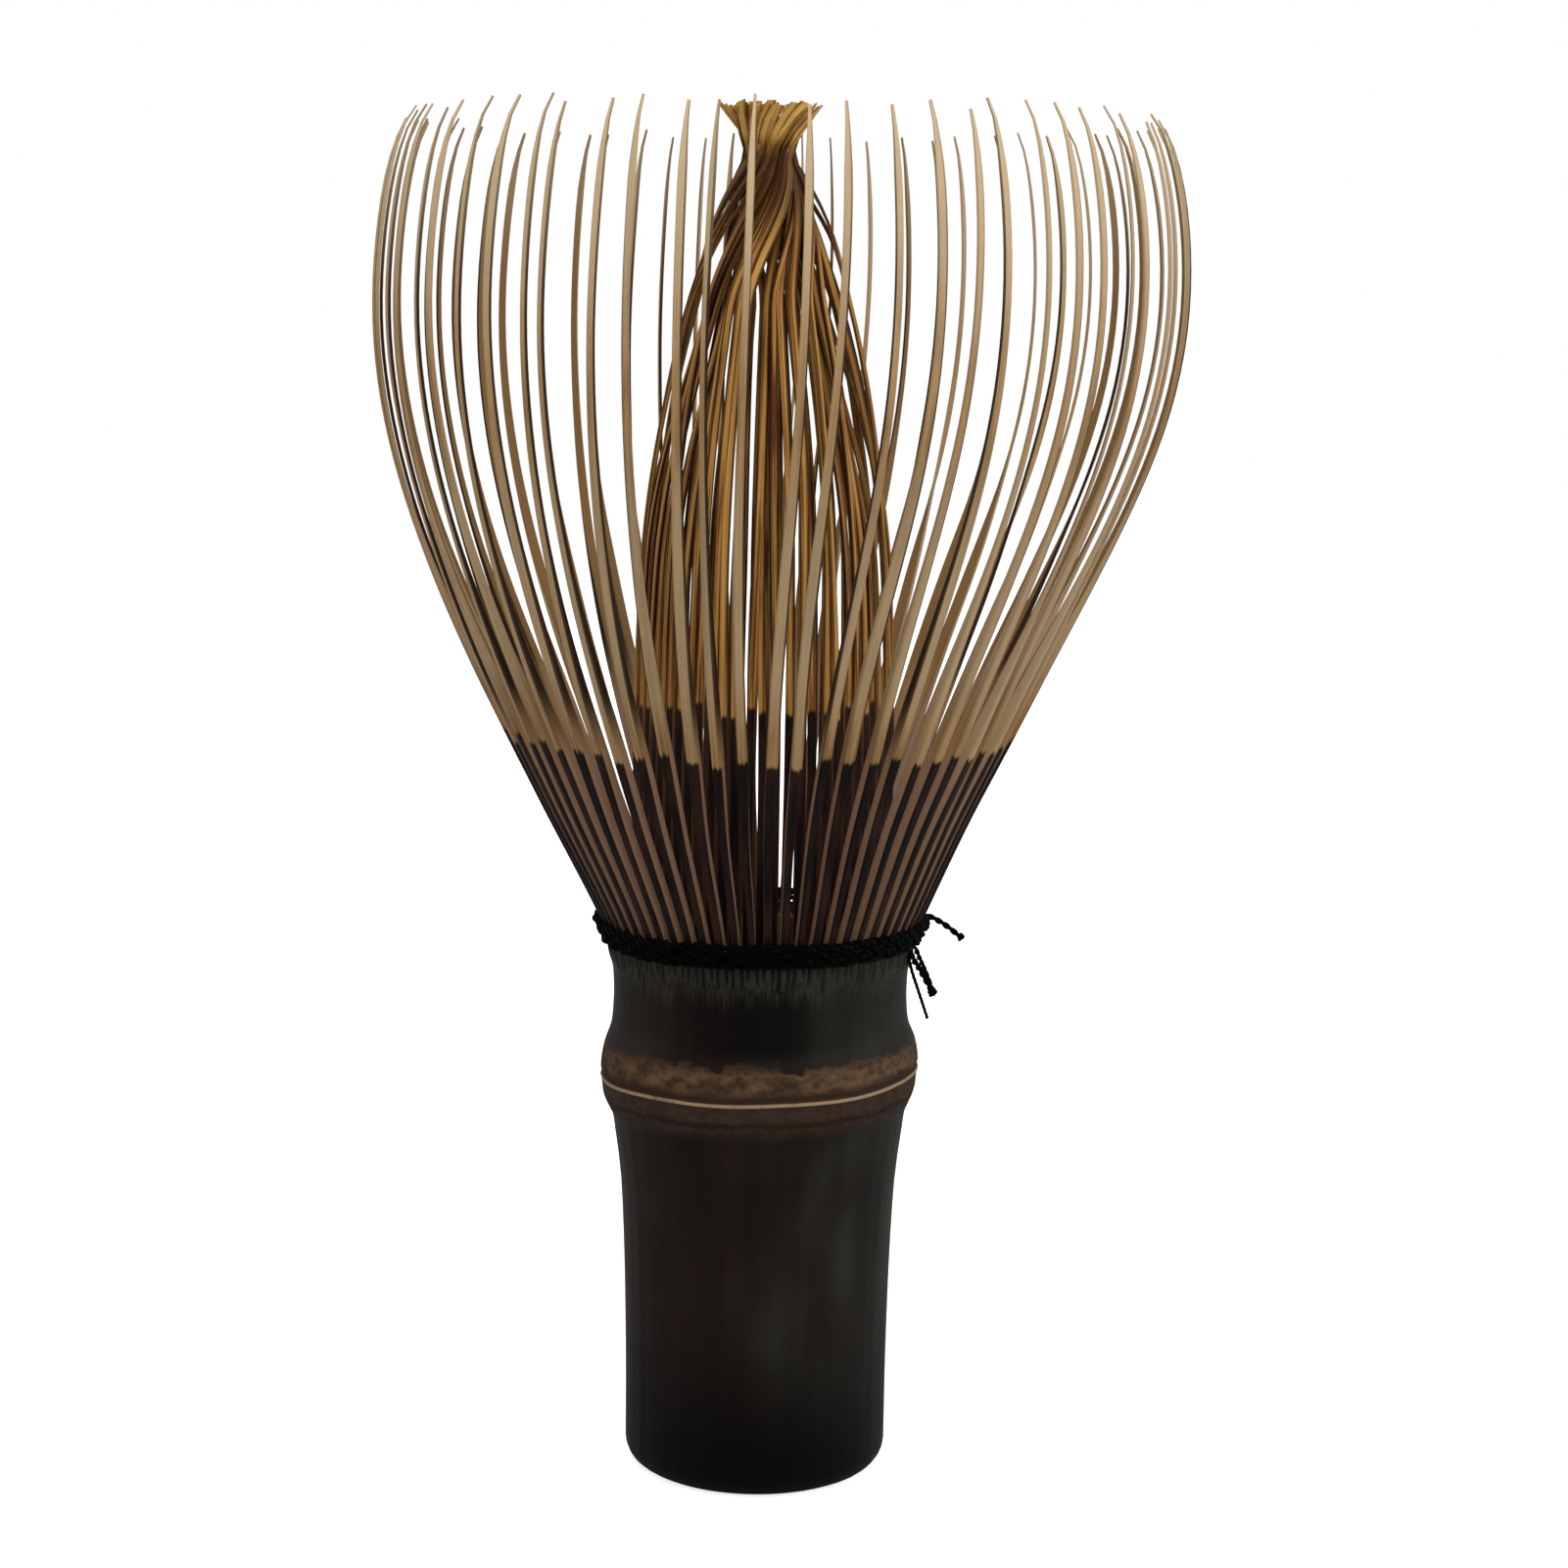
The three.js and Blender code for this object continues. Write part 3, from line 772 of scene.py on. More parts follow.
@dataclass
class Culm:
    """Hollow culm with its foot, node, diaphragm, cup and slit shoulder."""

    rim_height: float
    node_radius: float
    node_height: float = 33.5 * MM
    tine_count: int = 64
    steps_per_tine: int = 10
    foot_radius: float = 11.0 * MM
    foot_edge: float = 2.0 * MM
    bore_radius: float = 8.2 * MM
    cup_radius: float = 9.7 * MM
    diaphragm_below: float = 1.2 * MM
    diaphragm_above: float = 1.2 * MM
    fillet: float = 1.0 * MM
    groove_depth: float = 0.16 * MM
    slit_depth: float = 0.7 * MM
    slit_length: float = 2.1 * MM
    node_wave: float = 0.14 * MM
    node_reach: float = 4.5 * MM
    lump: float = 0.05 * MM
    small_lump: float = 0.02 * MM
    scar_roughness: float = 0.07 * MM
    scar_middle: float = 1.4 * MM
    scar_reach: float = 0.9 * MM
    groove_middle: float = 0.28 * MM
    groove_reach: float = 0.2 * MM
    lip_depth: float = 0.09 * MM
    lip_reach: float = 0.16 * MM
    node_tilt: float = 0.45 * MM
    line_above_node: float = 0.4 * MM
    node_rings: int = 52
    name: str = "black_bamboo_culm"

    def outside(self) -> np.ndarray:
        """Rows of height and radius up the outside, from the foot's edge to the rim.

        Returns:
            One row for each ring of points.
        """
        node, bulge = self.node_height, self.node_radius
        corner = [
            (self.foot_edge * (1 - math.cos(a)), self.foot_radius - self.foot_edge * (1 - math.sin(a)))
            for a in np.linspace(0.08, math.pi / 2, 7)
        ]
        points = [
            corner[-1],
            (9.0 * MM, self.foot_radius + 0.03 * MM),
            (17.5 * MM, self.foot_radius + 0.2 * MM),
            (node - 9.0 * MM, self.foot_radius + 0.52 * MM),
            (node - 5.2 * MM, bulge - 1.3 * MM),
            (node - 3.2 * MM, bulge - 1.02 * MM),
            (node - 2.3 * MM, bulge - 0.66 * MM),
            (node - 1.3 * MM, bulge - 0.24 * MM),
            (node - 0.4 * MM, bulge - 0.12 * MM),
            (node + 1.1 * MM, bulge),
            (node + 2.9 * MM, bulge - 0.26 * MM),
            (node + 4.6 * MM, bulge - 0.86 * MM),
            (node + 6.6 * MM, bulge - 1.04 * MM),
            (self.rim_height - 3.4 * MM, bulge - 1.03 * MM),
            (self.rim_height - 2.2 * MM, bulge - 0.93 * MM),
            (self.rim_height - 1.2 * MM, bulge - 0.62 * MM),
            (self.rim_height, bulge - 0.4 * MM),
        ]
        curve = smooth_line(points, 24)
        low, high = node - 4.5 * MM, node + 5.5 * MM
        heights = np.concatenate([
            np.linspace(corner[-1][0], low, 13)[1:-1],
            np.linspace(low, high, self.node_rings),
            np.linspace(high, self.rim_height, 16)[1:],
        ])
        radii = np.interp(heights, curve[:, 0], curve[:, 1])
        return np.vstack([corner, np.column_stack([heights, radii])])

    def inside(self) -> np.ndarray:
        """Rows of height and radius down the inside: rim, cup, diaphragm, bore, and back to the foot.

        Returns:
            One row for each ring of points.
        """
        top = self.node_height + self.diaphragm_above
        bottom = self.node_height - self.diaphragm_below
        turn = np.linspace(0, math.pi / 2, 4)
        cup_foot = [
            (top + self.fillet * (1 - math.sin(a)), self.cup_radius - self.fillet * (1 - math.cos(a)))
            for a in turn
        ]
        bore_top = [
            (bottom - self.fillet * (1 - math.cos(a)), self.bore_radius - self.fillet * (1 - math.sin(a)))
            for a in turn
        ]
        rim = self.rim_height
        return np.array([
            (rim + 0.1 * MM, self.node_radius - 0.7 * MM),
            (rim + 0.1 * MM, self.cup_radius + 0.25 * MM),
            (rim - 0.15 * MM, self.cup_radius),
            (rim - 3.0 * MM, self.cup_radius),
            *cup_foot,
            (top, 0.5 * self.cup_radius),
            (top, 0.0),
            (bottom, 0.0),
            (bottom, 0.5 * self.bore_radius),
            *bore_top,
            (0.5 * bottom, self.bore_radius),
            (0.25 * MM, self.bore_radius),
            (0.0, self.bore_radius + 0.25 * MM),
            (0.0, self.foot_radius - self.foot_edge + 0.1 * MM),
        ])

    def slit(self, angle: np.ndarray, height: np.ndarray) -> np.ndarray:
        """How deep the slits between the tines are cut at each point, as a share of their depth.

        Args:
            angle: Step number of each point round the culm, one to a column.
            height: Height of each point, one to a row.

        Returns:
            Shares from 0 to 1.
        """
        rng = np.random.default_rng(11)
        count = self.tine_count * 2
        reach = self.slit_length * rng.uniform(0.55, 1.25, count)
        reach[1::2] *= 0.8
        shift = self.steps_per_tine * 3 // 10
        share = np.zeros((len(height), len(angle)))
        for number in range(count):
            tine, side = divmod(number, 2)
            step = tine * self.steps_per_tine + (shift if side else -shift)
            foot = self.rim_height - reach[number]
            cut = ease(height, foot, foot + 0.7 * MM) * rng.uniform(0.6, 1.0)
            share[:, step % len(angle)] = cut
            share[:, (step + 1) % len(angle)] = cut
        return share

    def mesh(self) -> bpy.types.Mesh:
        """The culm as one closed surface, with the height over the growth line kept on it.

        Returns:
            The mesh, with its materials.
        """
        outer, inner = self.outside(), self.inside()
        count = self.tine_count * self.steps_per_tine
        first = -1.5 * TURN / self.tine_count
        angle = first + TURN * np.arange(count) / count
        rows = np.vstack([outer, inner])
        height = np.repeat(rows[:, :1], count, axis=1)
        radius = np.repeat(rows[:, 1:], count, axis=1)
        level = height - self.node_height - self.line_above_node
        skin = np.arange(len(rows)) < len(outer)
        # The node is never quite level, and the culm never quite round.
        wave = self.node_wave * ripple(angle, (2, 3, 7), 3) + self.node_tilt * np.cos(angle)
        height = height + wave * bump(level, 0.0, self.node_reach) * skin[:, None]
        lumps = self.lump * ripple(angle, (2, 3, 5, 9), 5) + self.small_lump * ripple(angle, (17, 29, 41), 6)
        radius = radius + lumps * (radius > self.cup_radius)
        roughness = self.scar_roughness * ripple(angle, (23, 37, 53, 71, 97), 8)
        scar = roughness * bump(level, self.scar_middle, self.scar_reach)
        groove = self.groove_depth * bump(level, self.groove_middle, self.groove_reach)
        lip = self.lip_depth * bump(level, 0.0, self.lip_reach)
        slits = self.slit_depth * self.slit(np.arange(count), rows[:, 0])
        radius = radius + (scar - groove + lip - slits) * skin[:, None]
        points = np.stack([radius * np.cos(angle), radius * np.sin(angle), height], axis=-1)
        return self.joined(points.reshape(-1, 3), rows, level / MM, count, len(outer))

    def joined(
        self, points: np.ndarray, rows: np.ndarray, level: np.ndarray, count: int, skin_rows: int
    ) -> bpy.types.Mesh:
        """Joins the rings of points to one closed mesh.

        Args:
            points: All points, ring by ring.
            rows: Height and radius of each ring.
            level: Height over the growth line of each point, in millimetres.
            count: Points in a ring.
            skin_rows: How many rings belong to the skin.

        Returns:
            The mesh, with its zones as material numbers.
        """
        ring = np.arange(count)
        after = np.roll(ring, -1)
        faces, zones = [], []
        for row in range(len(rows)):
            low, high = row * count, ((row + 1) % len(rows)) * count
            next_row = rows[(row + 1) % len(rows)]
            if rows[row, 1] == 0.0 and next_row[1] == 0.0:
                continue
            quads = np.column_stack([low + ring, low + after, high + after, high + ring])
            faces.append(quads)
            zone = Zone.SKIN if row < skin_rows or row == len(rows) - 1 else Zone.CUT
            zones.append(np.full(count, zone.value))
        mesh = bpy.data.meshes.new(self.name)
        mesh.from_pydata(points.tolist(), [], np.vstack(faces).tolist())
        mesh.attributes.new("level", "FLOAT", "POINT").data.foreach_set("value", level.ravel())
        mesh.materials.append(CulmSkin("black_bamboo_skin").material())
        mesh.materials.append(CutBamboo("sawn_bamboo").material())
        mesh.polygons.foreach_set("material_index", np.concatenate(zones))
        mesh.polygons.foreach_set("use_smooth", np.ones(len(mesh.polygons), bool))
        mesh.update()
        return mesh

    def build(self) -> None:
        """Makes the culm, closes its two poles and puts it on the handle."""
        piece = show(self.name, self.mesh())
        mend(piece.data)
        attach(piece, "handle")
        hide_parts("culm_handle")
        report(piece)


# ---------------------------------------------------------------- tines


class Chance(Enum):
    """What a tine draws its random numbers for, with the number that each adds to the seed."""

    LENGTH = 0
    INSET = 1
    SWAY = 2
    WIDTH = 3
    OWN_TURN = 4
    DRIFT_PACE = 5
    DRIFT_START = 6
    ANGLE = 7
    TONE = 8
    FAR_TURN = 9
    FAR_SIDE = 10
    WRAP = 11


class TineTree(ShapeTree):
    """The tree that splits one fork into its tines.

    A tine is an eight-sided bar. Its middle follows two Bezier curves, root to belly and belly to tip,
    in the upright plane of its own angle; X is the distance from the axis and Z the height.
    """

    COUNTS = ("Tine Count", "First Tine", "Segments", "Seed")
    POINTS = ("Root", "Root Handle", "Belly Handle", "Belly", "Belly Upper Handle", "Tip Handle", "Tip")
    SIZES = (
        "Root Width", "Blade Width", "Tip Width", "Root Thickness", "Blade Thickness", "Tip Thickness",
        "Tine Angle", "Angle Stray", "Wander", "Sway", "Own Turn", "Inset", "Uneven Tips",
        "Wrap Turn", "Wrap Start", "Belly Share", "Lean", "Lean Start", "Lean End", "Far Side Turn",
        "Slim From", "Stout To", "Low Lean", "Swell",
    )  # fmt: skip
    SIDES = 8
    CORNER = 0.924  # sideways reach of the bar's corners, on a radius of 1
    SQUARENESS = 0.33  # power that pushes the bar's corners out towards a square
    CURVE_STEPS = 64
    LOW_LEAN_RISE = (46 * MM, 58 * MM)
    LOW_LEAN_FALL = (66 * MM, 92 * MM)

    def __init__(self) -> None:
        """Makes the whole tree."""
        inputs = {name: Kind.COUNT for name in self.COUNTS}
        inputs |= {name: Kind.POINT for name in self.POINTS}
        inputs |= {name: Kind.NUMBER for name in self.SIZES}
        super().__init__("split_tines", inputs)
        tines = self.copies(self.bar())
        along, self.sideways, self.across, self.tine = (
            self.node("GeometryNodeInputNamedAttribute", {"Name": name}, data_type="FLOAT")
            for name in ("along", "sideways", "across", "tine")
        )
        cut = self.given("Uneven Tips") * self.chance(Chance.LENGTH, 0.0)
        self.along = along * (1.0 - cut)
        self.gather = self.along.ease(0.45, self.given("Belly Share"))
        radius, height, heading = self.middle()
        aside, outward = self.section()
        angle = self.angle(height)
        sine = angle.math("SINE")
        cosine = angle.math("COSINE")
        lean = self.lean(height)
        distance = radius + outward * heading.sibling("Z")
        moved = {
            "X": distance * cosine - aside * sine + lean,
            "Y": distance * sine + aside * cosine,
            "Z": height - outward * heading.sibling("X"),
        }
        for name, value in (("height", height / MM), ("tone", self.chance(Chance.TONE, 0.0))):
            kept = {"Geometry": tines, "Name": name, "Value": value}
            tines = self.node("GeometryNodeStoreNamedAttribute", kept, data_type="FLOAT")
        place = self.node("ShaderNodeCombineXYZ", moved)
        tines = self.node("GeometryNodeSetPosition", {"Geometry": tines, "Position": place})
        self.close(tines)

    def chance(self, use: Chance, low: float = -1.0, high: float = 1.0) -> Field:
        """A random number for each tine.

        Args:
            use: What the number is for.
            low: Least value.
            high: Greatest value.

        Returns:
            The same number all along a tine.
        """
        seeds = {2: low, 3: high, "ID": self.tine, "Seed": self.given("Seed") + use.value}
        return self.node("FunctionNodeRandomValue", seeds, 1, data_type="FLOAT")

    def bar(self) -> Field:
        """One straight bar, with the place of each point on it kept.

        Returns:
            The bar, one unit long and about its own middle.
        """
        size = {"Vertices": self.SIDES, "Side Segments": self.given("Segments")}
        bar = self.node("GeometryNodeMeshCylinder", size | {"Radius": 1.0, "Depth": 1.0})
        half_side = (0.0, 0.0, TURN / (2 * self.SIDES))
        bar = self.node("GeometryNodeTransform", {"Geometry": bar, "Rotation": half_side})
        spot = self.node("ShaderNodeSeparateXYZ", {0: self.node("GeometryNodeInputPosition")})
        places = {"along": spot.sibling("Z") + 0.5}
        for axis, name in (("X", "sideways"), ("Y", "across")):
            value = spot.sibling(axis)
            square = (value.math("ABSOLUTE") / self.CORNER).math("POWER", self.SQUARENESS)
            places[name] = square * value.math("SIGN")
        for name, value in places.items():
            kept = {"Geometry": bar, "Name": name, "Value": value}
            bar = self.node("GeometryNodeStoreNamedAttribute", kept, data_type="FLOAT")
        return bar

    def copies(self, bar: Field) -> Field:
        """A copy of the bar for each tine, numbered.

        Args:
            bar: The bar that is copied.

        Returns:
            The copies, realised.
        """
        row = self.node("GeometryNodeMeshLine", {"Count": self.given("Tine Count")})
        tines = self.node("GeometryNodeInstanceOnPoints", {"Points": row, "Instance": bar})
        number = self.node("GeometryNodeInputIndex") + self.given("First Tine")
        kept = {"Geometry": tines, "Name": "tine", "Value": number}
        tines = self.node("GeometryNodeStoreNamedAttribute", kept, data_type="FLOAT", domain="INSTANCE")
        return self.node("GeometryNodeRealizeInstances", {"Geometry": tines})

    def middle(self) -> tuple[Field, Field, Field]:
        """The middle line of each tine.

        Returns:
            Its distance from the axis, its height and its direction.
        """
        share = self.given("Belly Share")
        upper = self.along.math("GREATER_THAN", share)
        lower_factor = self.along / share
        upper_factor = (self.along - share) / (1.0 - share)
        lines = []
        for names, factor in ((self.POINTS[:4], lower_factor), (self.POINTS[3:], upper_factor)):
            ends = dict(zip(("Start", "Start Handle", "End Handle", "End"), map(self.given, names)))
            ends["Resolution"] = self.CURVE_STEPS
            line = self.node("GeometryNodeCurvePrimitiveBezierSegment", ends, mode="POSITION")
            sample = {"Curves": line, "Factor": factor}
            lines.append(self.node("GeometryNodeSampleCurve", sample, "Position"))
        parts = []
        for name in ("Position", "Tangent"):
            values = {0: upper, 4: lines[0].sibling(name), 5: lines[1].sibling(name)}
            parts.append(self.node("ShaderNodeMix", values, 1, data_type="VECTOR"))
        place = self.node("ShaderNodeSeparateXYZ", {0: parts[0]})
        unit = self.node("ShaderNodeVectorMath", {0: parts[1]}, operation="NORMALIZE")
        heading = self.node("ShaderNodeSeparateXYZ", {0: unit})
        inset = self.gather * self.given("Inset")
        radius = place.sibling("X") * (1.0 - inset * self.chance(Chance.INSET, 0.0))
        sway = self.given("Sway") * self.chance(Chance.SWAY) * self.along.ease(0.1, 0.7)
        return radius + sway * (1.0 - inset), place.sibling("Z"), heading

    def sized(self, kind: str) -> Field:
        """Width or thickness along the tine, from root to blade to tip.

        Args:
            kind: Width or Thickness.

        Returns:
            The size at each point.
        """
        root, blade, tip = (self.given(f"{part} {kind}") for part in ("Root", "Blade", "Tip"))
        thinned = self.along.ease(self.given("Stout To"), self.given("Stout To") + 0.35)
        slimmed = self.along.ease(self.given("Slim From"), 1.0)
        return root + (blade - root) * thinned + (tip - blade) * slimmed

    def section(self) -> tuple[Field, Field]:
        """A flat strip that thins towards its tip, turns about its own middle and drifts sideways.

        Returns:
            How far each point lies to the side of the middle line, and how far outwards.
        """
        along = self.along
        swell = (along.ease(0.12, 0.3) - along.ease(0.45, 0.8)) * self.given("Swell") + 1.0
        width = self.sized("Width") * swell * self.chance(Chance.WIDTH, 0.86, 1.1)
        half_width = self.sideways * width * 0.5
        half_thickness = self.across * self.sized("Thickness") * 0.5
        # Tines on the far side turn edge on, some to the left and some to the right.
        far = (self.tine * self.given("Tine Angle")).math("SINE").ease(0.4, 0.8)
        far = far * self.given("Far Side Turn") * self.chance(Chance.FAR_TURN, 0.9, 1.12)
        far = far * self.chance(Chance.FAR_SIDE).math("SIGN") * along.ease(0.38, 0.66)
        own = self.given("Own Turn") * self.chance(Chance.OWN_TURN).math("POWER", 3.0)
        own = own * along.ease(0.12, 0.6)
        turn = own + far
        sine = turn.math("SINE")
        cosine = turn.math("COSINE")
        drift = along * self.chance(Chance.DRIFT_PACE, 3.0, 7.0)
        drift = drift + self.chance(Chance.DRIFT_START, 0.0, TURN)
        wander = self.given("Wander") * drift.math("SINE") * along.ease(0.08, 0.5)
        wander = wander * (1.0 - self.gather * self.given("Inset"))
        aside = half_width * cosine - half_thickness * sine + wander
        return aside, half_width * sine + half_thickness * cosine

    def angle(self, height: Field) -> Field:
        """Angle round the axis, with the wrap of a gathered bundle.

        Args:
            height: Height of the middle line.

        Returns:
            The angle from the first tine.
        """
        start = self.given("Wrap Start")
        tip_height = self.node("ShaderNodeSeparateXYZ", {0: self.given("Tip")}, "Z")
        wrap = ((height - start).math("MAXIMUM", 0.0) / (tip_height - start)).math("POWER", 1.8)
        wrap = wrap * self.given("Wrap Turn") * self.chance(Chance.WRAP, 0.7, 1.25)
        stray = self.given("Angle Stray") * self.chance(Chance.ANGLE) * self.along.ease(0.05, 0.8)
        return self.tine * self.given("Tine Angle") + stray + wrap

    def lean(self, height: Field) -> Field:
        """How far the head leans towards +X at each height.

        Args:
            height: Height of the middle line.

        Returns:
            The lean, in metres.
        """
        lean = self.given("Lean") * height.ease(self.given("Lean Start"), self.given("Lean End"))
        low = height.ease(*self.LOW_LEAN_RISE) * height.ease(*self.LOW_LEAN_FALL, 1.0, 0.0)
        return lean + self.given("Low Lean") * low


class Ring(Enum):
    """The two rings of tines: name of the CAD nodes and of the record's material slot."""

    OUTER = ("outer_tines", "outer_bamboo")
    INNER = ("inner_tines", "inner_bamboo")


@dataclass
class TineRing:
    """One ring of tines, in forks that were split from one master split each."""

    ring: Ring
    finish: SplitBamboo
    path: dict[str, tuple[float, float, float]]
    sizes: dict[str, float]
    segments: int
    seed: int
    first_angle_tines: float
    forks: int = 16
    tines_per_fork: int = 4
    bend: tuple[tuple[float, float], ...] = ((1.9 * MM, 1.6 * MM), (7.6 * MM, 13.4 * MM))

    def values(self, fork: int) -> dict[str, object]:
        """The tree's inputs for one fork.

        Args:
            fork: Number of the fork, from 0.

        Returns:
            Value of each named input.
        """
        tine_angle = TURN / (self.forks * self.tines_per_fork)
        return {
            **{name: tuple(v * MM for v in point) for name, point in self.path.items()},
            **self.sizes,
            "Tine Angle": tine_angle,
            "Tine Count": self.tines_per_fork,
            "First Tine": fork * self.tines_per_fork,
            "Segments": self.segments,
            "Seed": self.seed,
            "Material": self.finish.material(),
        }

    def build(self, tree: ShapeTree) -> None:
        """Grows every fork, turns it into place and fastens it.

        Args:
            tree: Tree that grows a fork.
        """
        nodes, slot = self.ring.value
        tine_angle = TURN / (self.forks * self.tines_per_fork)
        turned = Matrix.Rotation(self.first_angle_tines * tine_angle, 4, "Z")
        for fork in range(self.forks):
            piece = tree.grow(f"{nodes.replace('tines', 'fork')}_split_{fork + 1:02d}", self.values(fork))
            piece.data.transform(turned)
            self.fasten(piece)
            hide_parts(f"{nodes}_{fork + 1:02d}")
            report(piece)

    def fasten(self, piece: bpy.types.Object) -> None:
        """Puts an inner fork on the handle; an outer one only has its placement baked into its mesh.

        Args:
            piece: The fork.
        """
        if self.ring is Ring.INNER:
            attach(piece, "handle")
            return
        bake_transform(piece)


# ---------------------------------------------------------------- thread


class ThreadTree(ShapeTree):
    """The tree that lays twisted plies along a route."""

    PLY_SIDES = 7
    PLY_OFFSET = 0.25  # how far a ply's middle lies from the thread's, as a share of its diameter
    PLY_RADIUS = 0.28  # as a share of the thread's diameter, so that the plies press together

    def __init__(self) -> None:
        """Makes the whole tree."""
        sizes = {name: Kind.NUMBER for name in ("Diameter", "Lay Length")}
        super().__init__("twisted_thread", {"Route": Kind.ROUTE, "Plies": Kind.COUNT, **sizes})
        line = self.node("GeometryNodeMeshToCurve", {"Mesh": self.given("Route")})
        copies = {"Geometry": line, "Amount": self.given("Plies")}
        plies = self.node("GeometryNodeDuplicateElements", copies, domain="SPLINE")
        run = self.node("GeometryNodeSplineParameter", output="Length")
        offset = self.offset(run, plies.sibling("Duplicate Index"))
        kept = {"Geometry": plies, "Name": "run", "Value": run}
        plies = self.node("GeometryNodeStoreNamedAttribute", kept, data_type="FLOAT")
        plies = self.node("GeometryNodeSetPosition", {"Geometry": plies, "Offset": offset})
        size = {"Resolution": self.PLY_SIDES, "Radius": self.given("Diameter") * self.PLY_RADIUS}
        section = self.node("GeometryNodeCurvePrimitiveCircle", size)
        kept = {"Geometry": section, "Name": "round", "Value": self.node("GeometryNodeSplineParameter")}
        section = self.node("GeometryNodeStoreNamedAttribute", kept, data_type="FLOAT")
        swept = {"Curve": plies, "Profile Curve": section, "Fill Caps": True}
        self.close(self.node("GeometryNodeCurveToMesh", swept))

    def offset(self, run: Field, ply: Field) -> Field:
        """How far a ply lies from the middle of the thread.

        Args:
            run: Length along the thread.
            ply: Number of the ply.

        Returns:
            A vector that turns round the thread once in each lay length.
        """
        turn = run / self.given("Lay Length") * TURN + ply / self.given("Plies") * TURN
        normal = self.node("GeometryNodeInputNormal")
        tangent = self.node("GeometryNodeInputTangent")
        binormal = self.node("ShaderNodeVectorMath", {0: tangent, 1: normal}, operation="CROSS_PRODUCT")
        spread = self.given("Diameter") * self.PLY_OFFSET
        steps = []
        for way, size in ((normal, turn.math("COSINE")), (binormal, turn.math("SINE"))):
            values = {0: way, "Scale": size * spread}
            steps.append(self.node("ShaderNodeVectorMath", values, operation="SCALE"))
        return self.node("ShaderNodeVectorMath", {0: steps[0], 1: steps[1]}, operation="ADD")


